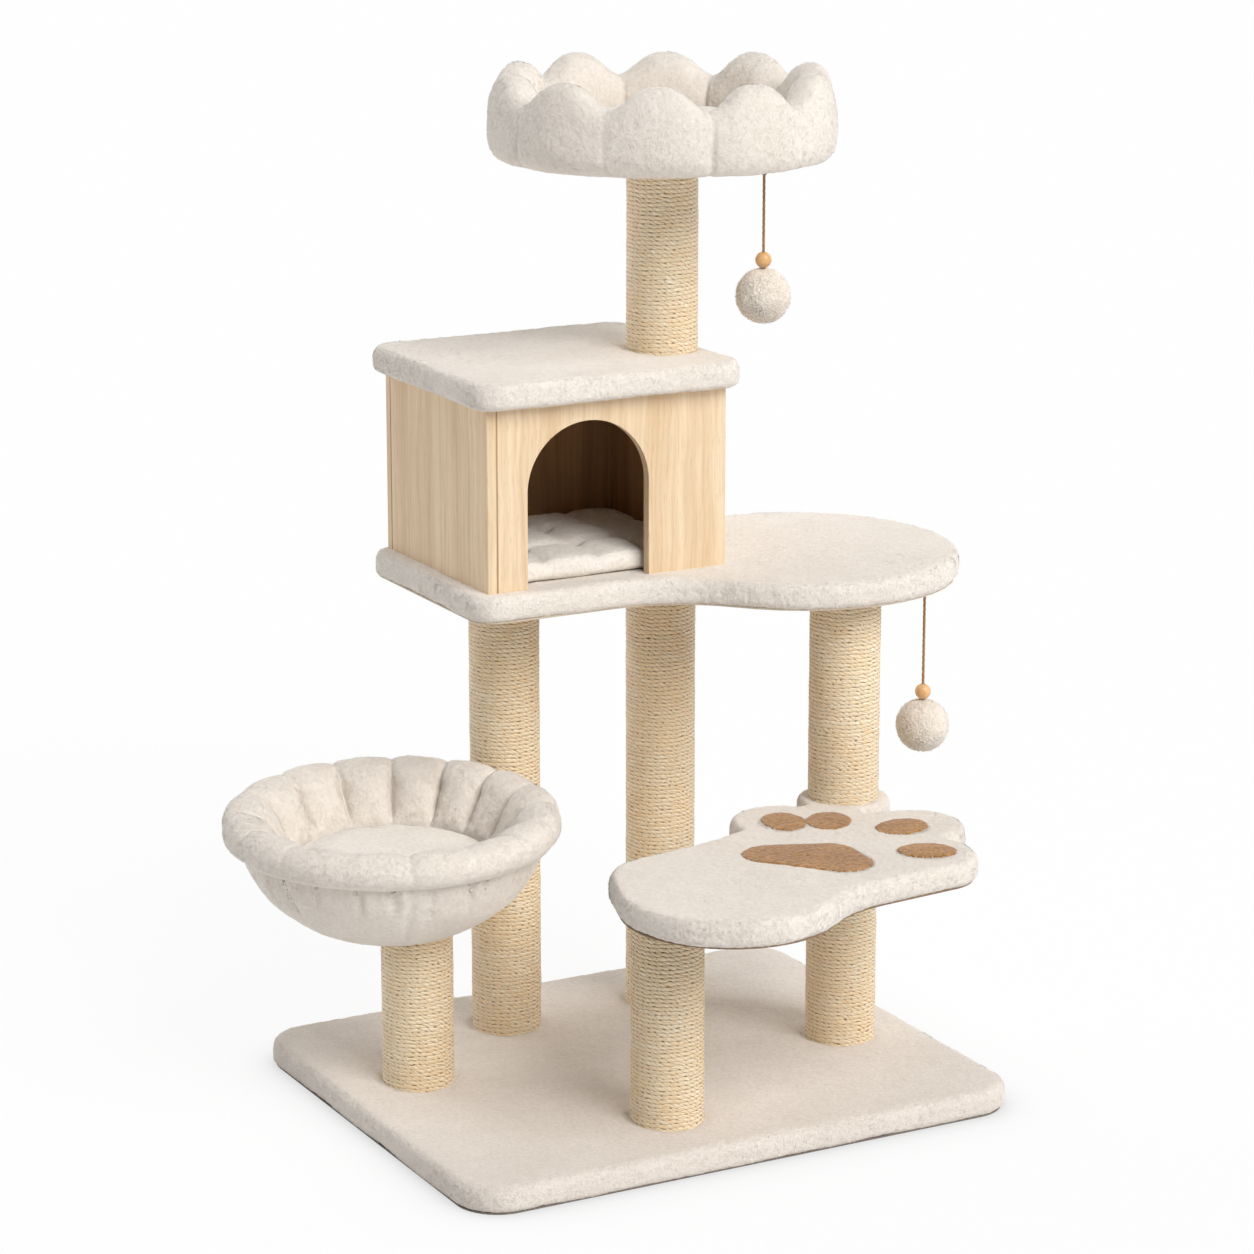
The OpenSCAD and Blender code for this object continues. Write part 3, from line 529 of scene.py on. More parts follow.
# toys: each is a jute cord from its staple, through a bead and into a pompom
toyLook = {"cord": 0.0016, "cordStep": 0.0007, "cordRound": 18, "strandTurns": 150, "knot": 0.0011,
           "knotWide": 0.0016, "knotDrop": 0.0044, "loop": 0.0009, "beadHole": 0.0018, "beadRound": 56}
toys = {"bed_toy": {"loopTurn": -45, "seed": 40}, "deck_toy": {"loopTurn": 13, "seed": 41}}


def twistedCord(name, path, radius, body, replaces=()):
    # three strands laid round each other along a path
    path = np.asarray(path, float)
    step = unit(np.gradient(path, axis=0))
    side = unit(np.cross(step, (0.31, 0.87, 0.38)))  # any way but the cord's own
    other = np.cross(step, side)
    run = np.r_[0, np.cumsum(np.linalg.norm(np.diff(path, axis=0), axis=1))]
    a = anglesRound(toyLook["cordRound"])[:, None]
    lobes = np.abs(np.cos(1.5 * (a - run[None, :] * toyLook["strandTurns"] * tau / 3)))
    r = radius * (0.78 + 0.22 * lobes)
    r = r * (1 + 0.05 * softNoise(np.stack([a + 0 * r, run[None, :] * 900 + 0 * r, 0 * r], -1), 1.0, 5))
    around = np.cos(a)[..., None] * side[None] + np.sin(a)[..., None] * other[None]
    return addPiece(name, gridMesh(name, path[None] + r[..., None] * around), "jute", replaces, body)


def makeString(toy):
    # the hanging cord, the knot at its top and the loop that holds it
    middle, low, high = middleOf(toy + "_string")
    count = int((high.z - low.z) / toyLook["cordStep"])
    path = [(middle.x, middle.y, high.z + (low.z - high.z) * k / (count - 1)) for k in range(count)]
    cord = twistedCord(toy + "Cord", path, toyLook["cord"], toy, (toy + "_string",))
    t = np.linspace(0, tau, 90, endpoint=False)
    r = toyLook["knotWide"] * (1 + 0.35 * np.cos(3 * t))
    z = high.z - toyLook["knotDrop"] + 0.0012 * np.sin(3 * t)
    clover = np.stack([middle.x + r * np.cos(2 * t), middle.y + r * np.sin(2 * t), z], -1)
    knot = twistedCord(toy + "Knot", np.vstack([clover, clover[:1]]), toyLook["knot"], toy)
    middle, low, high = middleOf(toy + "_loop")
    turn, t = math.radians(toys[toy]["loopTurn"]), np.linspace(0, tau, 60)
    radius = (high.z - low.z) / 2 - toyLook["loop"]
    flat = np.cos(t) * radius
    ring = np.stack([middle.x + flat * math.cos(turn), middle.y + flat * math.sin(turn),
                     middle.z + np.sin(t) * radius], -1)
    twistedCord(toy + "Loop", ring, toyLook["loop"], toy + "_hanger", (toy + "_loop",))
    return cord, knot, path


def makeBead(toy):
    middle, low, high = middleOf(toy + "_bead")
    r, hole = (high.x - low.x) / 2, toyLook["beadHole"]
    edge = math.asin(hole / r) * 1.25  # where the ball turns into the hole
    a = np.linspace(edge, math.pi - edge, 34)
    outer = np.stack([r * np.sin(a), low.z + r + r * np.cos(a)], -1)
    inner = np.stack([np.full(8, hole), np.linspace(outer[-1, 1] + 0.0006, outer[0, 1] - 0.0006, 8)], -1)
    points = turned(middle, anglesRound(toyLook["beadRound"]), np.vstack([outer, inner])[None])
    return addPiece(toy + "Bead", gridMesh("bead", points[::-1], loop=True), "bead", (toy + "_bead",), toy)


pompomLook = {"radius": 0.0298, "round": 128, "tall": 80, "tufts": 5200, "long": 0.0058, "wide": 0.0019,
              "lift": (0.04, 0.3), "stray": 0.10, "swells": ((0.022, 0.32, 9), (0.012, 0.12, 8)),
              "partTurn": math.radians(-128), "partRise": -0.55, "partDeep": 0.06, "partWide": 0.02,
              "lineDeep": 0.022, "lineWide": 0.05, "bare": 0.25, "spread": 0.9}


def onBall(around, down):
    # points on a ball of radius 1
    x, y, z = np.cos(around) * np.sin(down), np.sin(around) * np.sin(down), np.cos(down) + 0 * around
    return np.stack([x, y, z], -1)


def makePompom(toy):
    # a clipped ball of yarn ends that part from one place near its foot
    look, seed = pompomLook, toys[toy]["seed"]
    middle = np.array(middleOf(toy + "_pompom")[0])
    parting = unit(np.array([math.cos(look["partTurn"]), math.sin(look["partTurn"]), look["partRise"]]))
    a, b = anglesRound(look["round"])[:, None], np.linspace(0.02, math.pi - 0.02, look["tall"])[None, :]
    ball = onBall(a, b)
    swell = 1 + layered(ball, look["swells"], seed)
    swell = swell - look["partDeep"] * np.exp(-((1 - ball @ parting) / look["partWide"]))
    # a line runs from the bead down to the parting
    line = hill(shortest(a - look["partTurn"]) * np.sin(b), look["lineWide"]) * (ball[..., 2] > parting[2])
    swell = swell - look["lineDeep"] * line
    mesh = gridMesh("pompom", ball * swell[..., None] * look["radius"] + middle)
    mesh.flip_normals()
    ruffleNap(mesh, 0.0005, seed)
    pompom = addPiece(toy + "Pompom", mesh, "fluff", (toy + "_pompom",), toy)
    # the yarn ends, which show most round the parting
    rand = np.random.RandomState(seed)
    count = look["tufts"]
    k = np.arange(count) + 0.5
    out = onBall(math.pi * (1 + 5 ** 0.5) * k, np.arccos(1 - 2 * k / count))
    near = np.exp(-((1 - out @ parting) / look["spread"]))
    out = out[rand.rand(count) < look["bare"] + (1 - look["bare"]) * near]
    count = len(out)
    out = unit(out + rand.normal(0, 0.03, out.shape))
    away = out - parting + 0.25 * np.stack([softNoise(out, 0.2, seed + n) for n in range(3)], -1)
    lean = leaning(rand, out, away, look)
    at = middle + out * look["radius"] * 0.992
    long = look["long"] * rand.uniform(0.6, 1.1, (count, 1))
    # each end is lit as a round strand is
    side = unit(np.cross(out, lean)) * 0.75
    lit = np.stack([unit(out + side), unit(out - side), out, unit(out + 0.2 * lean)], 1)
    yarn = addTufts(toy + "Yarn", at, out, lean, long, look["wide"], "fluff", toy, lit)
    return pompom, yarn


for toy in toys:
    cord, knot, path = makeString(toy)
    bead = makeBead(toy)
    pompom, yarn = makePompom(toy)
print("toys hung")


def woundRope(node):
    low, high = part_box(node)
    center, r = ((low.x + high.x) / 2, (low.y + high.y) / 2), (high.x - low.x) / 2
    tall = high.z - low.z
    turns = tall / rope["pitch"]
    angle = anglesRound(rope["columns"])
    around, height = angle[:, None], np.linspace(0, tall, int(turns * rope["rows"]))[None, :]
    spots = turned((0, 0), angle, np.stack([r + 0 * height, height + low.z], -1))
    # the turns wander a little up and down, most where a strand bulges
    bulge = np.sin(around * rope["strands"] + height * rope["climb"]) * rope["bulge"]
    wander = rope["wander"] * (bulge + rope["drift"] * softNoise(spots, rope["driftWide"], 13))
    turn = height / rope["pitch"] - around / tau + wander
    across = turn - np.floor(turn) - 0.5
    depth = rope["groove"] * (1 - np.sqrt(np.clip(1 - (1.96 * across) ** 2, 0, 1)))
    twist = np.abs(np.sin(math.pi * (around / tau * rope["strands"] + across * rope["slant"])))
    radius = r - rope["sunk"] - depth - rope["strand"] * (1 - np.sqrt(twist)) + layered(spots, rope["rough"])
    skin = turned(center, angle, np.stack([radius, low.z + height + 0 * around], -1))
    ends = [turned(center, angle, np.array([[[r - rope["thick"], z]]])) for z in (low.z, high.z)]
    points = np.concatenate([ends[0], skin, ends[1]], 1)
    mesh = gridMesh(node, points, loop=True, uv=(1.0, turns * points.shape[1] / height.size))
    # the map follows the wandering turns
    layer = mesh.uv_layers[0].data
    spot, corner = np.zeros(len(mesh.loops) * 2), np.zeros(len(mesh.loops), np.int32)
    layer.foreach_get("uv", spot)
    mesh.loops.foreach_get("vertex_index", corner)
    spot[1::2] += np.pad(wander, ((0, 0), (1, 1))).ravel()[corner]
    layer.foreach_set("uv", spot)
    addPiece(node.replace("_rope", "_windings"), mesh, "sisal", (node,))
    return (*center, r, low.z, high.z)


postPlaces = [woundRope(node) for node in sorted(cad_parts) if node.endswith("_rope")]
print("posts wound")


def ringsOf(node):
    # the outer edges of a frame piece's top faces, each an ordered ring of x and y
    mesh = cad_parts[node].data
    top = max(v.co.z for v in mesh.vertices)
    work = bmesh.new()
    work.from_mesh(mesh)
    bmesh.ops.remove_doubles(work, verts=work.verts, dist=1e-6)
    flat = {f for f in work.faces if all(abs(v.co.z - top) < 1e-6 for v in f.verts)}
    rim = dict.fromkeys(e for e in work.edges if sum(f in flat for f in e.link_faces) == 1)
    rings, used = [], set()
    for first in rim:
        if first in used:
            continue
        used.add(first)
        ring = [first.verts[0], first.verts[1]]
        while True:
            following = [e for e in ring[-1].link_edges if e in rim and e not in used]
            if not following:
                break
            used.add(following[0])
            ring.append(following[0].other_vert(ring[-1]))
        rings.append(np.array([v.co.xy for v in ring[:-1]]))
    work.free()
    return sorted(rings, key=lambda ring: -np.ptp(ring[:, 0]) * np.ptp(ring[:, 1]))


def evenRing(ring, step):
    # the same ring with its points a step apart, running counter-clockwise
    closed = np.vstack([ring, ring[:1]])
    run = np.r_[0, np.cumsum(np.linalg.norm(np.diff(closed, axis=0), axis=1))]
    count = int(run[-1] / step)
    at = np.arange(count) / count * run[-1]
    even = np.stack([np.interp(at, run, closed[:, 0]), np.interp(at, run, closed[:, 1])], -1)
    area = np.sum(even[:, 0] * np.roll(even[:, 1], -1) - np.roll(even[:, 0], -1) * even[:, 1])
    return even if area > 0 else even[::-1]


def outwardOf(ring, reach):
    # the way out at each point of a ring
    step = np.roll(ring, -reach, 0) - np.roll(ring, reach, 0)
    out = np.stack([step[:, 1], -step[:, 0]], -1)
    return out / np.linalg.norm(out, axis=1)[:, None]


def plushCap(name, node, finish, look):
    # the plush over a board, from its underside, round the edge, to its top
    low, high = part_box(node)
    ring = evenRing(ringsOf(node)[0], 0.004)
    out = outwardOf(ring, 3)
    rings = []
    for k in range(look["rows"] + 1):
        a = -math.pi / 2 + math.pi * k / look["rows"]
        side = look["round"] * (1 - abs(math.cos(a)) ** 0.75) - look["bulge"]
        if a > 0:
            z = high.z - look["topRound"] + look["topRound"] * math.sin(a)
        else:
            z = low.z - look["drop"] + look["footRound"] + look["footRound"] * math.sin(a)
        rings.append(np.column_stack([ring - out * side, np.full(len(ring), z)]))
    mesh = remeshed(gridMesh("work", np.stack(rings, 1)), look["voxel"])
    co = readPoints(mesh)
    for px, py, pr, z0, z1 in postPlaces:
        if z0 < high.z < z1:  # the rope sinks into the plush
            gap = np.hypot(co[:, 0] - px, co[:, 1] - py) - pr
            dent = look["dent"] * hill(np.clip(gap, 0, 1), look["dentWide"])
            co[:, 2] -= np.where(co[:, 2] > (low.z + high.z) / 2, dent, 0)
    writePoints(mesh, co)
    ruffleNap(mesh, look["nap"], look["seed"], look["lump"])
    return addPiece(name, mesh, finish, (node,))


def makeNap(name, piece, count, finish, seed, edge=0.0, long=1.0):
    # the pile of the plush, thickest where the cloth turns over an edge and round the posts
    mesh = piece.data
    mesh.calc_loop_triangles()
    co, no = readPoints(mesh), readNormals(mesh)
    corners = np.zeros(len(mesh.loop_triangles) * 3, np.int32)
    mesh.loop_triangles.foreach_get("vertices", corners)
    corners = corners.reshape(-1, 3)
    spots = co[corners]
    share = np.linalg.norm(np.cross(spots[:, 1] - spots[:, 0], spots[:, 2] - spots[:, 0]), axis=1)
    up = no[corners].mean(1)[:, 2]
    share = share * (1 + edge * (up < napLook["level"])) * (up > napLook["under"])
    middle = spots.mean(1)
    for px, py, pr, z0, z1 in postPlaces:
        gap = np.hypot(middle[:, 0] - px, middle[:, 1] - py) - pr
        level = (middle[:, 2] > z0) & (middle[:, 2] < z1)
        share = share * np.where(level & (gap < -0.001), 0, 1)
        share = share * np.where(level & (gap < napLook["collarWide"]), napLook["collar"], 1)
    rand = np.random.RandomState(seed)
    pick = rand.choice(len(share), count, p=share / share.sum())
    r, q = np.sqrt(rand.rand(count, 1)), rand.rand(count, 1)
    weight = np.concatenate([1 - r, r * (1 - q), r * q], 1)[..., None]
    at, out = (co[corners[pick]] * weight).sum(1), unit((no[corners[pick]] * weight).sum(1))
    brush = [softNoise(at, 0.06, seed + n) + 0.8 * softNoise(at, 0.009, seed + 5 + n) for n in range(3)]
    brush = np.stack(brush, -1)
    brush[:, 2] -= 0.5
    lean = leaning(rand, out, brush, napLook)
    lengths = napLook["long"] * long * rand.uniform(0.55, 1.15, (count, 1))
    addTufts(name, at, out, lean, lengths, napLook["wide"] * rand.uniform(0.7, 1.25, (count, 1)), finish)


capLook = {"rows": 12, "round": 0.0105, "bulge": 0.0015, "topRound": 0.0135, "footRound": 0.0085,
           "drop": 0.0018, "voxel": 0.0028, "dent": 0.0015, "dentWide": 0.006, "nap": 0.0006, "lump": 0.0011,
           "seed": 21}
# each board's finish, what differs from the usual look, and its pile: how many points, their finish and seed
boards = {
    "base": ("base", {"voxel": 0.0034, "seed": 20}, 30000, "basePile", 310),
    "deck": ("cream", {}, 30000, "pile", 320),
    "roof": ("cream", {"voxel": 0.0024, "seed": 22, "topRound": 0.013}, 21000, "pile", 330),
    "paw": ("cream", {"voxel": 0.0024, "seed": 23}, 24000, "cream", 340),
}
caps = {}
for board, (finish, own, count, pile, seed) in boards.items():
    caps[board] = plushCap(board + "Plush", board + "_cover", finish, {**capLook, **own})
for board, (finish, own, count, pile, seed) in boards.items():
    makeNap(board + "Nap", caps[board], count, pile, seed, napLook["edge"])
print("boards covered")

# the bed's padded wall, with its round petals and the seams between them
bedLook = {"petals": 10, "turn": -120.2, "columns": 620, "perPart": 9, "petalTop": 0.0915, "valley": 0.0660,
           "seamShare": (1.0, 0.5, 0.8, 0.8, 0.8, 0.8, 0.8, 0.8, 0.45, 0.2), "radius": 0.185,
           "seamDeep": 0.0042, "seamWide": 0.0028, "hollowWide": 0.010, "puff": 0.005, "uneven": 0.0012,
           "lumps": ((0.0016, 0.045, 1), (0.0005, 0.012, 2), (0.0003, 0.005, 3)), "seed": 61}


def makeBedWall():
    look = bedLook
    middle, low, high = middleOf("bed_shell")
    z0 = low.z + 0.004
    angle = anglesRound(look["columns"])
    phase = (angle - math.radians(look["turn"])) / tau * look["petals"]
    petal = np.round(phase)
    phi = np.abs(phase - petal) * 2  # 0 in the middle of a petal, 1 at its seams
    rand = np.random.RandomState(look["seed"])
    own = rand.uniform(-1, 1, look["petals"])[petal.astype(int) % look["petals"]]
    dip = np.sin(math.pi / 2 * phi ** 1.3) ** 2
    tall = look["petalTop"] + look["uneven"] * own * (1 - phi ** 2)
    tall = tall - (look["petalTop"] - look["valley"]) * dip
    rows = [  # radius, height as a share of the petal's, height added, puff and seam depth
        (0.1435, 0, 0.006, 0, 0.3), (0.1425, 0.2, 0, 0.6, 0.9), (0.1420, 0.5, 0, 1.0, 1.0),
        (0.1460, 0.78, 0, 0.7, 0.8), (0.1570, 0.95, 0, 0.25, 0.4), (0.1720, 1.0, 0, 0.1, 0.25),
        (0.1825, 0.94, 0, 0.2, 0.3), (0.1890, 0.76, 0, 0.6, 0.5), (0.1915, 0.5, 0, 1.0, 0.75),
        (0.1920, 0.26, 0, 1.0, 0.9), (0.1895, 0.1, 0, 0.7, 0.9), (0.1830, 0, -0.0015, 0.3, 0.8),
        (0.1740, 0, -0.004, 0, 0.3),
    ]
    radius, part, added, puff, deep = splinePath(np.array(rows), look["perPart"]).T
    section = np.stack([np.repeat(radius[None], len(angle), 0), z0 + part * tall[:, None] + added], -1)
    # under and over the board, round the hole for the post
    skin = [(0.15, -0.004), (0.1, -0.004), (0.06, -0.004), (0.0415, -0.004), (0.0415, -0.0003),
            (0.06, -0.0003), (0.1, -0.0003), (0.1405, -0.0003), (0.143, 0.001)]
    flat = np.array([(r, z0 + z) for r, z in skin])
    points = turned(middle, angle, np.concatenate([section, np.repeat(flat[None], len(angle), 0)], 1))
    puff, deep = (np.r_[values, np.zeros(len(flat))].clip(0)[None, :] for values in (puff, deep))
    # a strong seam is a crease, a weak one only a soft hollow
    share = np.array(look["seamShare"])[np.floor(phase).astype(int) % look["petals"]]
    crown = 1 - share * phi ** 2.6 - (1 - share) * 0.3 * (1 - np.cos(math.pi * phi))
    toSeam = (1 - phi) * math.pi / look["petals"] * look["radius"]
    seam = share * (hill(toSeam, look["seamWide"]) + 0.25 * hill(toSeam, look["hollowWide"]))
    amount = look["puff"] * puff * (crown[:, None] - 0.7) - look["seamDeep"] * deep * seam[:, None]
    amount = amount + np.minimum(deep * 2.5, 1) * layered(points, look["lumps"], look["seed"])
    mesh = gridMesh("bedWall", swelled(points, amount)[::-1], loop=True)
    wall = addPiece("bedWall", mesh, "cream", ("bed_shell",))
    makeNap("bedNap", wall, 46000, "cream", 350)


makeBedWall()
print("bed wall made")

# the basket: a padded lining that rolls over the rim, and a gathered bowl under it
basketLook = {"channels": 16, "columns": 640, "perPart": 8, "radius": 0.14, "frontSeam": 6.3,
              "frontDrop": 0.0085, "frontThin": 0.13, "frontSmooth": 0.65, "puff": 0.0075, "uneven": 0.12,
              "seamDeep": 0.0043, "seamWide": 0.0028, "hollowWide": 0.010, "stitchDeep": 0.0035,
              "creases": 0.0014, "lumps": ((0.0016, 0.03, 1),),
              "tufts": ((0.0006, 0.011, 2), (0.0003, 0.005, 3)), "seed": 71}


def basketSeams(middle):
    # directions of the seams; those at the front lean to the right
    around = anglesRound(basketLook["channels"])
    lean = math.radians(basketLook["frontSeam"])
    return facing(middle) + around + lean * (1 + np.cos(around)) / 2


def makeBasketPadding():
    look = basketLook
    middle, low, high = middleOf("basket_rim")
    z0 = (low.z + high.z) / 2
    angle = anglesRound(look["columns"])
    seams = np.sort(np.mod(basketSeams(middle), tau))
    edges = np.r_[seams[-1] - tau, seams, seams[0] + tau]
    k = np.searchsorted(edges, angle, side="right") - 1
    wide = edges[k + 1] - edges[k]
    phi = np.abs((angle - edges[k]) / wide * 2 - 1)  # 0 in the middle of a channel, 1 at its seams
    toSeam = np.minimum(angle - edges[k], edges[k + 1] - angle)
    own = np.random.RandomState(look["seed"]).uniform(-1, 1, 64)[k]
    rows = [  # radius, height over the middle of the rim, puff and seam depth
        (0.1125, -0.0500, 0, 0), (0.1150, -0.0395, 0.2, 0.3), (0.1190, -0.0310, 0.8, 0.9),
        (0.1250, -0.0190, 1.0, 1.1), (0.1325, -0.0040, 1.0, 1.1), (0.1410, 0.0085, 0.75, 0.9),
        (0.1530, 0.0165, 0.5, 0.6), (0.1660, 0.0185, 0.35, 0.4), (0.1765, 0.0135, 0.3, 0.3),
        (0.1825, 0.0030, 0.25, 0.25), (0.1825, -0.0100, 0.2, 0.25), (0.1775, -0.0200, 0.15, 0.2),
        (0.1690, -0.0245, 0.1, 0.1), (0.1600, -0.0220, 0, 0), (0.1530, -0.0140, 0, 0),
        (0.1460, -0.0200, 0, 0), (0.1340, -0.0360, 0, 0), (0.1200, -0.0500, 0, 0),
    ]
    radius, rise, puff, deep = splinePath(np.array(rows), look["perPart"]).T
    # the roll is lower, thinner and smoother at the front
    front = ((1 + np.cos(angle - facing(middle))) / 2)[:, None]
    z = z0 + rise * (1 - look["frontThin"] * front) - look["frontDrop"] * front
    points = turned(middle, angle, np.stack([np.repeat(radius[None], len(angle), 0), z], -1))
    outside = np.clip((radius - 0.140) / 0.015, 0, 1) * front ** 2
    mainSeam = np.abs(shortest(angle - basketSeams(middle)[0])) < math.pi / look["channels"]
    smooth = 1 - look["frontSmooth"] * outside * np.where(mainSeam[:, None], 0.3, 1)
    puff, deep = np.clip(puff, 0, 2) * smooth, np.clip(deep, 0, 2) * smooth
    aside = toSeam * look["radius"]
    seam = hill(aside, look["seamWide"]) + 0.3 * hill(aside, look["hollowWide"])
    crown = (1 - phi ** 2.4)[:, None] * (1 + look["uneven"] * own[:, None])
    amount = look["puff"] * puff * (crown - 0.62) - look["seamDeep"] * deep * seam[:, None]
    # a stitch pulls each seam in half way up the inside
    up = np.abs(rise + 0.004) + 0.2 * (radius > 0.15)
    amount = amount - look["stitchDeep"] * np.exp(-(toSeam[:, None] * 0.13 / 0.008) ** 2 - (up / 0.007) ** 2)
    # creases where the channels are gathered at the floor
    foot = hill(rise + 0.036, 0.010) * (radius < 0.13)
    amount = amount + look["creases"] * foot * softNoise(points * np.array([1, 1, 0.3]), 0.009, 78)
    amount = amount + puff * layered(points, look["lumps"], look["seed"])
    amount = amount + np.minimum(puff * 3, 1) * layered(points, look["tufts"], look["seed"])
    mesh = gridMesh("basketPadding", swelled(points, amount)[::-1], loop=True)
    padding = addPiece("basketPadding", mesh, "cream", ("basket_rim", "basket_lining"))
    makeNap("basketNap", padding, 44000, "cream", 360)


bowlLook = {"ring": 0.163, "lip": 0.1585, "foot": 0.078, "hole": 0.0415, "thick": 0.003, "gathers": 26,
            "gatherDeep": 0.0070, "gatherWide": (0.028, 0.05), "gatherLong": (0.3, 0.95), "drift": 0.05,
            "seamDeep": 0.0036, "seamWide": 0.0055, "ridge": 0.0018, "ridgeWide": 0.016, "seed": 80,
            "lumps": ((0.002, 0.045, 75), (0.0006, 0.014, 76)), "tufts": ((0.0003, 0.005, 77),)}


def makeBasketBowl():
    look = bowlLook
    middle, low, high = middleOf("basket_bowl")
    deep = high.z - low.z
    tall = deep / math.sqrt(1 - (look["foot"] / look["ring"]) ** 2)
    angle = anglesRound(basketLook["columns"])
    # down the outside, under the foot to the post, and back up the inside
    down = np.linspace(0.05, 1, 54)
    outer = [(look["lip"], high.z - deep * 0.02)]
    outer += [(look["ring"] * math.sqrt(1 - (deep * d / tall) ** 2), high.z - deep * d) for d in down]
    foot = [(0.070, low.z), (0.056, low.z + 0.0002), (look["hole"], low.z + 0.0002),
            (look["hole"], low.z + 0.0036), (0.074, low.z + 0.0036)]
    back = [(r - look["thick"], z + 0.001) for r, z in outer[::-3]]
    section = np.array(outer + foot + back)
    points = turned(middle, angle, section[None])
    t, body = np.zeros(len(section)), np.zeros(len(section))
    t[: len(outer)] = np.linspace(0, 1, len(outer))
    body[: len(outer)] = np.clip(t[: len(outer)] * 12, 0, 1) * np.clip((1 - t[: len(outer)]) * 5, 0, 1)
    rand = np.random.RandomState(look["seed"])
    amount = np.zeros(points.shape[:2])
    for k in range(look["gathers"]):
        at = facing(middle) + (k + rand.uniform(-0.3, 0.3)) / look["gathers"] * tau
        wide, long = rand.uniform(*look["gatherWide"]), rand.uniform(*look["gatherLong"])
        drift = rand.uniform(-look["drift"], look["drift"])
        off = shortest(angle[:, None] - at - drift * t[None, :])
        fade = np.clip(1 - t / long, 0, 1)[None, :] ** 0.8
        strength = look["gatherDeep"] * rand.uniform(0.55, 1.1)
        amount -= strength * fade * (hill(off, wide) - 0.55 * hill(off - 1.5 * wide, wide))
    # the seam at the front, with a low ridge on each side
    off = shortest(angle[:, None] - basketSeams(middle)[0]) * basketLook["radius"]
    amount -= look["seamDeep"] * hill(off, look["seamWide"]) * (1 - 0.4 * t[None, :])
    amount += look["ridge"] * hill(off, look["ridgeWide"]) * (1 - 0.4 * t[None, :])
    amount += layered(points, look["lumps"])
    amount = amount * body[None, :] + layered(points, look["tufts"]) * (t[None, :] > 0)
    mesh = gridMesh("basketBowl", swelled(points, amount)[::-1], loop=True)
    bowl = addPiece("basketBowl", mesh, "cream", ("basket_bowl",))
    makeNap("bowlNap", bowl, 24000, "cream", 370, long=0.8)


makeBasketPadding()
makeBasketBowl()
print("basket made")


def padMesh(ring, low, high, look):
    # a stuffed pad over an outline: a flat underside, round edges and a crowned top
    ring = evenRing(ring, look["step"])
    middle = ring.mean(0)
    rings = [(s, low, 0) for s in np.linspace(0.04, 0.94, look["rings"])]
    for k in range(9):
        a = -math.pi / 2 + math.pi * k / 8
        z = (low + high) / 2 + (high - low) / 2 * math.sin(a)
        rings.append((1 - look["edge"] * (1 - math.cos(a)), z, max(0, math.sin(a))))
    rings += [(s, high, 1) for s in np.linspace(0.94, 0.04, look["rings"])]
    points = []
    for s, z, top in rings:
        crown = look["crown"] * top * (1 - min(s, 1) ** 3)
        points.append(np.column_stack([middle + (ring - middle) * s, np.full(len(ring), z + crown)]))
    return gridMesh("work", np.stack(points, 1))


def inflated(mesh, look, held):
    # swell the stuffing with a cloth simulation, holding the sewn points, then make it one level finer
    scene = bpy.context.scene
    obj = placed("swelling", mesh)
    start = readPoints(mesh)
    swell = obj.modifiers.new("swell", "CLOTH")
    cloth = swell.settings
    cloth.quality = 5
    cloth.mass = 0.3
    cloth.tension_stiffness = look["stiff"]
    cloth.compression_stiffness = look["stiff"]
    cloth.shear_stiffness = look["stiff"] / 2
    cloth.bending_stiffness = 0.3
    cloth.use_pressure = True
    cloth.uniform_pressure_force = look["pressure"]
    cloth.effector_weights.gravity = 0
    swell.collision_settings.use_collision = False
    group = obj.vertex_groups.new(name="sewn")
    for k in np.flatnonzero(held > 0.02):
        group.add([int(k)], float(min(1, held[k])), "REPLACE")
    cloth.vertex_group_mass = "sewn"
    swell.point_cache.frame_start = 1
    swell.point_cache.frame_end = look["frames"]
    for f in range(1, look["frames"] + 1):
        scene.frame_set(f)
    mesh = settled(obj)
    move = readPoints(mesh) - start
    far = np.linalg.norm(move, axis=1)
    writePoints(mesh, start + move * np.minimum(1, look["cap"] / np.maximum(far, 1e-9))[:, None])
    scene.frame_set(1)
    obj = placed("work", mesh)
    obj.modifiers.new("finer", "SUBSURF").levels = 1
    return settled(obj)


# cushions
houseCushionLook = {"step": 0.006, "rings": 16, "edge": 0.05, "crown": 0.004, "across": 4, "deep": 3,
                    "crease": 0.005, "creaseWide": 0.007, "sunk": 0.013, "sunkWide": 0.010, "voxel": 0.0045,
                    "stiff": 6.0, "pressure": 5.0, "frames": 18, "cap": 0.012, "seed": 81}
roundCushionLook = {"step": 0.006, "rings": 14, "edge": 0.05, "crown": 0.002, "voxel": 0.0045, "stiff": 8.0,
                    "pressure": 3.0, "frames": 16, "cap": 0.006}


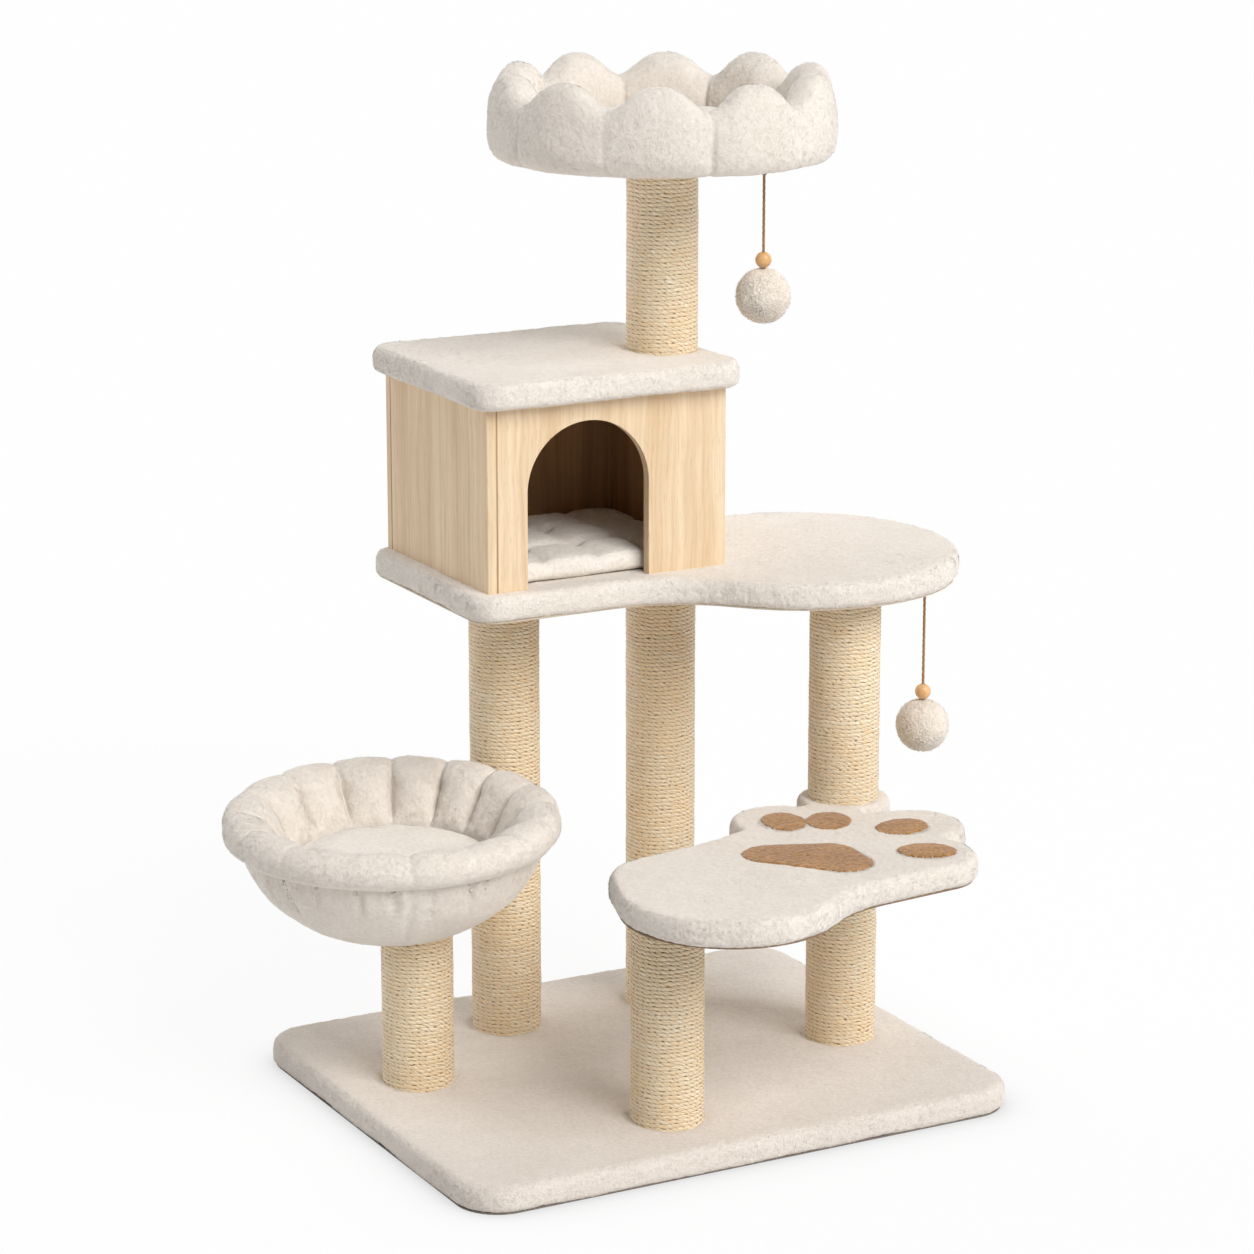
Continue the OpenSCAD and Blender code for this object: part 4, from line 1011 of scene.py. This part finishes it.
def makeHouseCushion():
    look = houseCushionLook
    low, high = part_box("house_cushion")
    ring = ringsOf("house_cushion")[0]
    middle = ring.mean(0)
    ring = middle + (ring - middle) * 0.975
    mesh = remeshed(padMesh(ring, low.z + 0.0003, high.z - 0.005, look), look["voxel"])
    co = readPoints(mesh)
    # creases run both ways between the tufted points
    size = (high.x - low.x) / look["across"]
    u = (co[:, 0] - low.x) / (high.x - low.x) * look["across"]
    v = (co[:, 1] - low.y) / (high.y - low.y) * look["deep"]
    offU, offV = np.abs(u - np.round(u)) * size, np.abs(v - np.round(v)) * size
    innerU = (np.round(u) > 0) * (np.round(u) < look["across"])
    innerV = (np.round(v) > 0) * (np.round(v) < look["deep"])
    lines = np.maximum(hill(offU, look["creaseWide"]) * innerU, hill(offV, look["creaseWide"]) * innerV)
    knots = hill(np.hypot(offU, offV), look["sunkWide"]) * innerU * innerV
    up = np.clip((co[:, 2] - low.z) / (high.z - low.z), 0, 1) ** 2
    co[:, 2] -= up * (look["crease"] * lines + look["sunk"] * knots)
    writePoints(mesh, co)
    held = np.where(co[:, 2] < low.z + 0.003, 1.0, np.maximum(knots * up, 0.25 * up * lines))
    mesh = inflated(mesh, look, held)
    co = readPoints(mesh)
    co[:, 2] = np.maximum(co[:, 2], low.z + 0.0003)
    for axis in (0, 1):
        co[:, axis] = np.clip(co[:, axis], low[axis] - 0.0025, high[axis] + 0.0025)
    writePoints(mesh, co)
    ruffleNap(mesh, 0.0004, look["seed"], 0.0012)
    cushion = addPiece("houseCushion", mesh, "cushion", ("house_cushion",))


def makeRoundCushion(name, node, floor, radius, seed):
    look = roundCushionLook
    middle, low, high = middleOf(node)
    a = anglesRound(120)
    ring = np.stack([middle.x + radius * np.cos(a), middle.y + radius * np.sin(a)], -1)
    mesh = remeshed(padMesh(ring, floor, high.z - 0.002, look), look["voxel"])
    mesh = inflated(mesh, look, np.where(readPoints(mesh)[:, 2] < floor + 0.003, 1.0, 0.0))
    co = readPoints(mesh)
    co[:, 2] = np.clip(co[:, 2], floor, high.z + 0.005)
    out = np.hypot(co[:, 0] - middle.x, co[:, 1] - middle.y)
    most = radius + 0.001
    shrink = np.where(out > most, most / np.maximum(out, 1e-9), 1.0)
    co[:, 0] = middle.x + (co[:, 0] - middle.x) * shrink
    co[:, 1] = middle.y + (co[:, 1] - middle.y) * shrink
    writePoints(mesh, co)
    ruffleNap(mesh, 0.0004, seed, 0.0012)
    cushion = addPiece(name, mesh, "cushion", (node,))


makeHouseCushion()
makeRoundCushion("bedCushion", "bed_cushion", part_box("bed_cushion")[0].z + 0.0003, 0.1395, 85)
makeRoundCushion("basketCushion", "basket_cushion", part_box("basket_board")[1].z + 0.0003, 0.1085, 86)
print("cushions stuffed")

# the paw's brown pads, and the fringe of pile that leans over their edges
padLook = {"step": 0.0022, "rings": 12, "edge": 0.035, "crown": 0.0012, "nap": 0.00035, "grow": 0.0015,
           "fray": 0.0008, "sink": 0.0025, "seed": 91, "fringe": 0.0009, "fringeLong": 0.0040,
           "fringeRows": (0.0006, 0.0016, 0.0028), "fringeStray": 0.22}


def makePads(name, node):
    low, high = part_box(node)
    work = bmesh.new()
    rand = np.random.RandomState(padLook["seed"])
    at, lean = [], []
    for ring in ringsOf(node):
        ring = evenRing(ring, padLook["fringe"])
        out = outwardOf(ring, 2)
        edge = ring + out * padLook["grow"]
        spots = np.column_stack([edge, np.zeros(len(edge))])
        frayed = edge + out * padLook["fray"] * softNoise(spots, 0.004, 92)[:, None]
        work.from_mesh(padMesh(frayed, low.z - 0.002, high.z - padLook["sink"], padLook))
        for row in padLook["fringeRows"]:
            at.append(edge + out * (row + rand.uniform(-0.0006, 0.0006, (len(edge), 1))))
            lean.append(-out)
    mesh = bpy.data.meshes.new(name)
    work.to_mesh(mesh)
    work.free()
    ruffleNap(mesh, padLook["nap"], padLook["seed"], 0.0005)
    addPiece(name, mesh, "brown", (node,))
    at, lean = np.vstack(at), np.vstack(lean)
    at = np.column_stack([at, np.full(len(at), low.z - 0.0006)])
    up = np.tile([0.0, 0.0, 1.0], (len(at), 1))
    lean = np.column_stack([lean, rand.uniform(0.2, 0.75, len(at))])
    lean = unit(lean + rand.normal(0, padLook["fringeStray"], lean.shape))
    long = padLook["fringeLong"] * rand.uniform(0.6, 1.1, (len(at), 1))
    addTufts(name + "Fringe", at, up, lean, long, napLook["wide"], "cream")


makePads("toePads", "paw_toe_pads")
makePads("palmPad", "paw_palm_pad")
print("pads sewn on")

light = {
    # way round from the camera, height, width in degrees, and strength
    "suns": {"key": (40, 40, 40, 2.70), "backLeft": (-120, 16, 60, 1.35), "back": (180, 16, 60, 0.66),
             "backRight": (120, 16, 60, 0.98)},
    "world": 0.23, "white": (254, 254, 254),
    # the floor's own grey, the grey that lights the object, how white it shows, and the shade by the base
    "floor": 0.95, "floorBounce": 0.8, "clear": 0.92, "contact": 0.12, "contactShade": 0.74,
}


def lightScene():
    for name, (turn, height, wide, strength) in light["suns"].items():
        data = bpy.data.lights.new(name, "SUN")
        data.energy = strength
        data.angle = math.radians(wide)
        aimed(placed(name, data), view["turn"] + turn, height)
    # plain white behind the object, and a soft level light on it
    t = NodeTree(bpy.data.worlds.new("studio"), "Background")
    t.feed(t.shader.inputs["Color"], (255, 255, 255))
    t.feed(t.shader.inputs["Strength"], light["world"])
    plain = t.add("Background", {"Color": light["white"]})
    path = t.add("LightPath", {}).outputs
    seen = t.math("MAXIMUM", path["Is Camera Ray"], path["Is Transmission Ray"])
    mix = t.add("MixShader", {0: seen, 1: t.shader, 2: plain})
    t.feed(t.nodes["World Output"].inputs[0], mix)
    bpy.context.scene.world = t.owner


def layFloor():
    t = NodeTree(bpy.data.materials.new("studioFloor"))
    direct = t.add("LightPath", {}).outputs["Is Camera Ray"]
    shade = t.mix(direct, (*(light["floorBounce"],) * 3, 1), (*(light["floor"],) * 3, 1))
    material = t.finish(shade, 0.9, Specular_IOR_Level=0.0)
    # the soft shade close to where the base meets the floor
    near = t.add("AmbientOcclusion", {"Distance": light["contact"]}, samples=8).outputs["AO"]
    ends = {"From Min": 0.4, "From Max": 0.97, "To Min": light["contactShade"], "To Max": 1.0}
    soft = t.add("MapRange", {"Value": near, **ends})
    glow = t.add("Emission", {"Color": light["white"], "Strength": soft})
    mix = t.add("MixShader", {0: t.times(direct, light["clear"]), 1: t.shader, 2: glow})
    t.feed(t.nodes["Material Output"].inputs[0], mix)
    wide = 60.0  # metres, so that no edge of it shows
    corners = [(-wide, -wide, 0), (wide, -wide, 0), (wide, wide, 0), (-wide, wide, 0)]
    mesh = meshFrom("floor", corners, [(0, 1, 2, 3)])
    mesh.materials.append(material)
    placed("floor", mesh)


lightScene()
layFloor()
bpy.context.scene.view_settings.view_transform = "Standard"
print("lit")
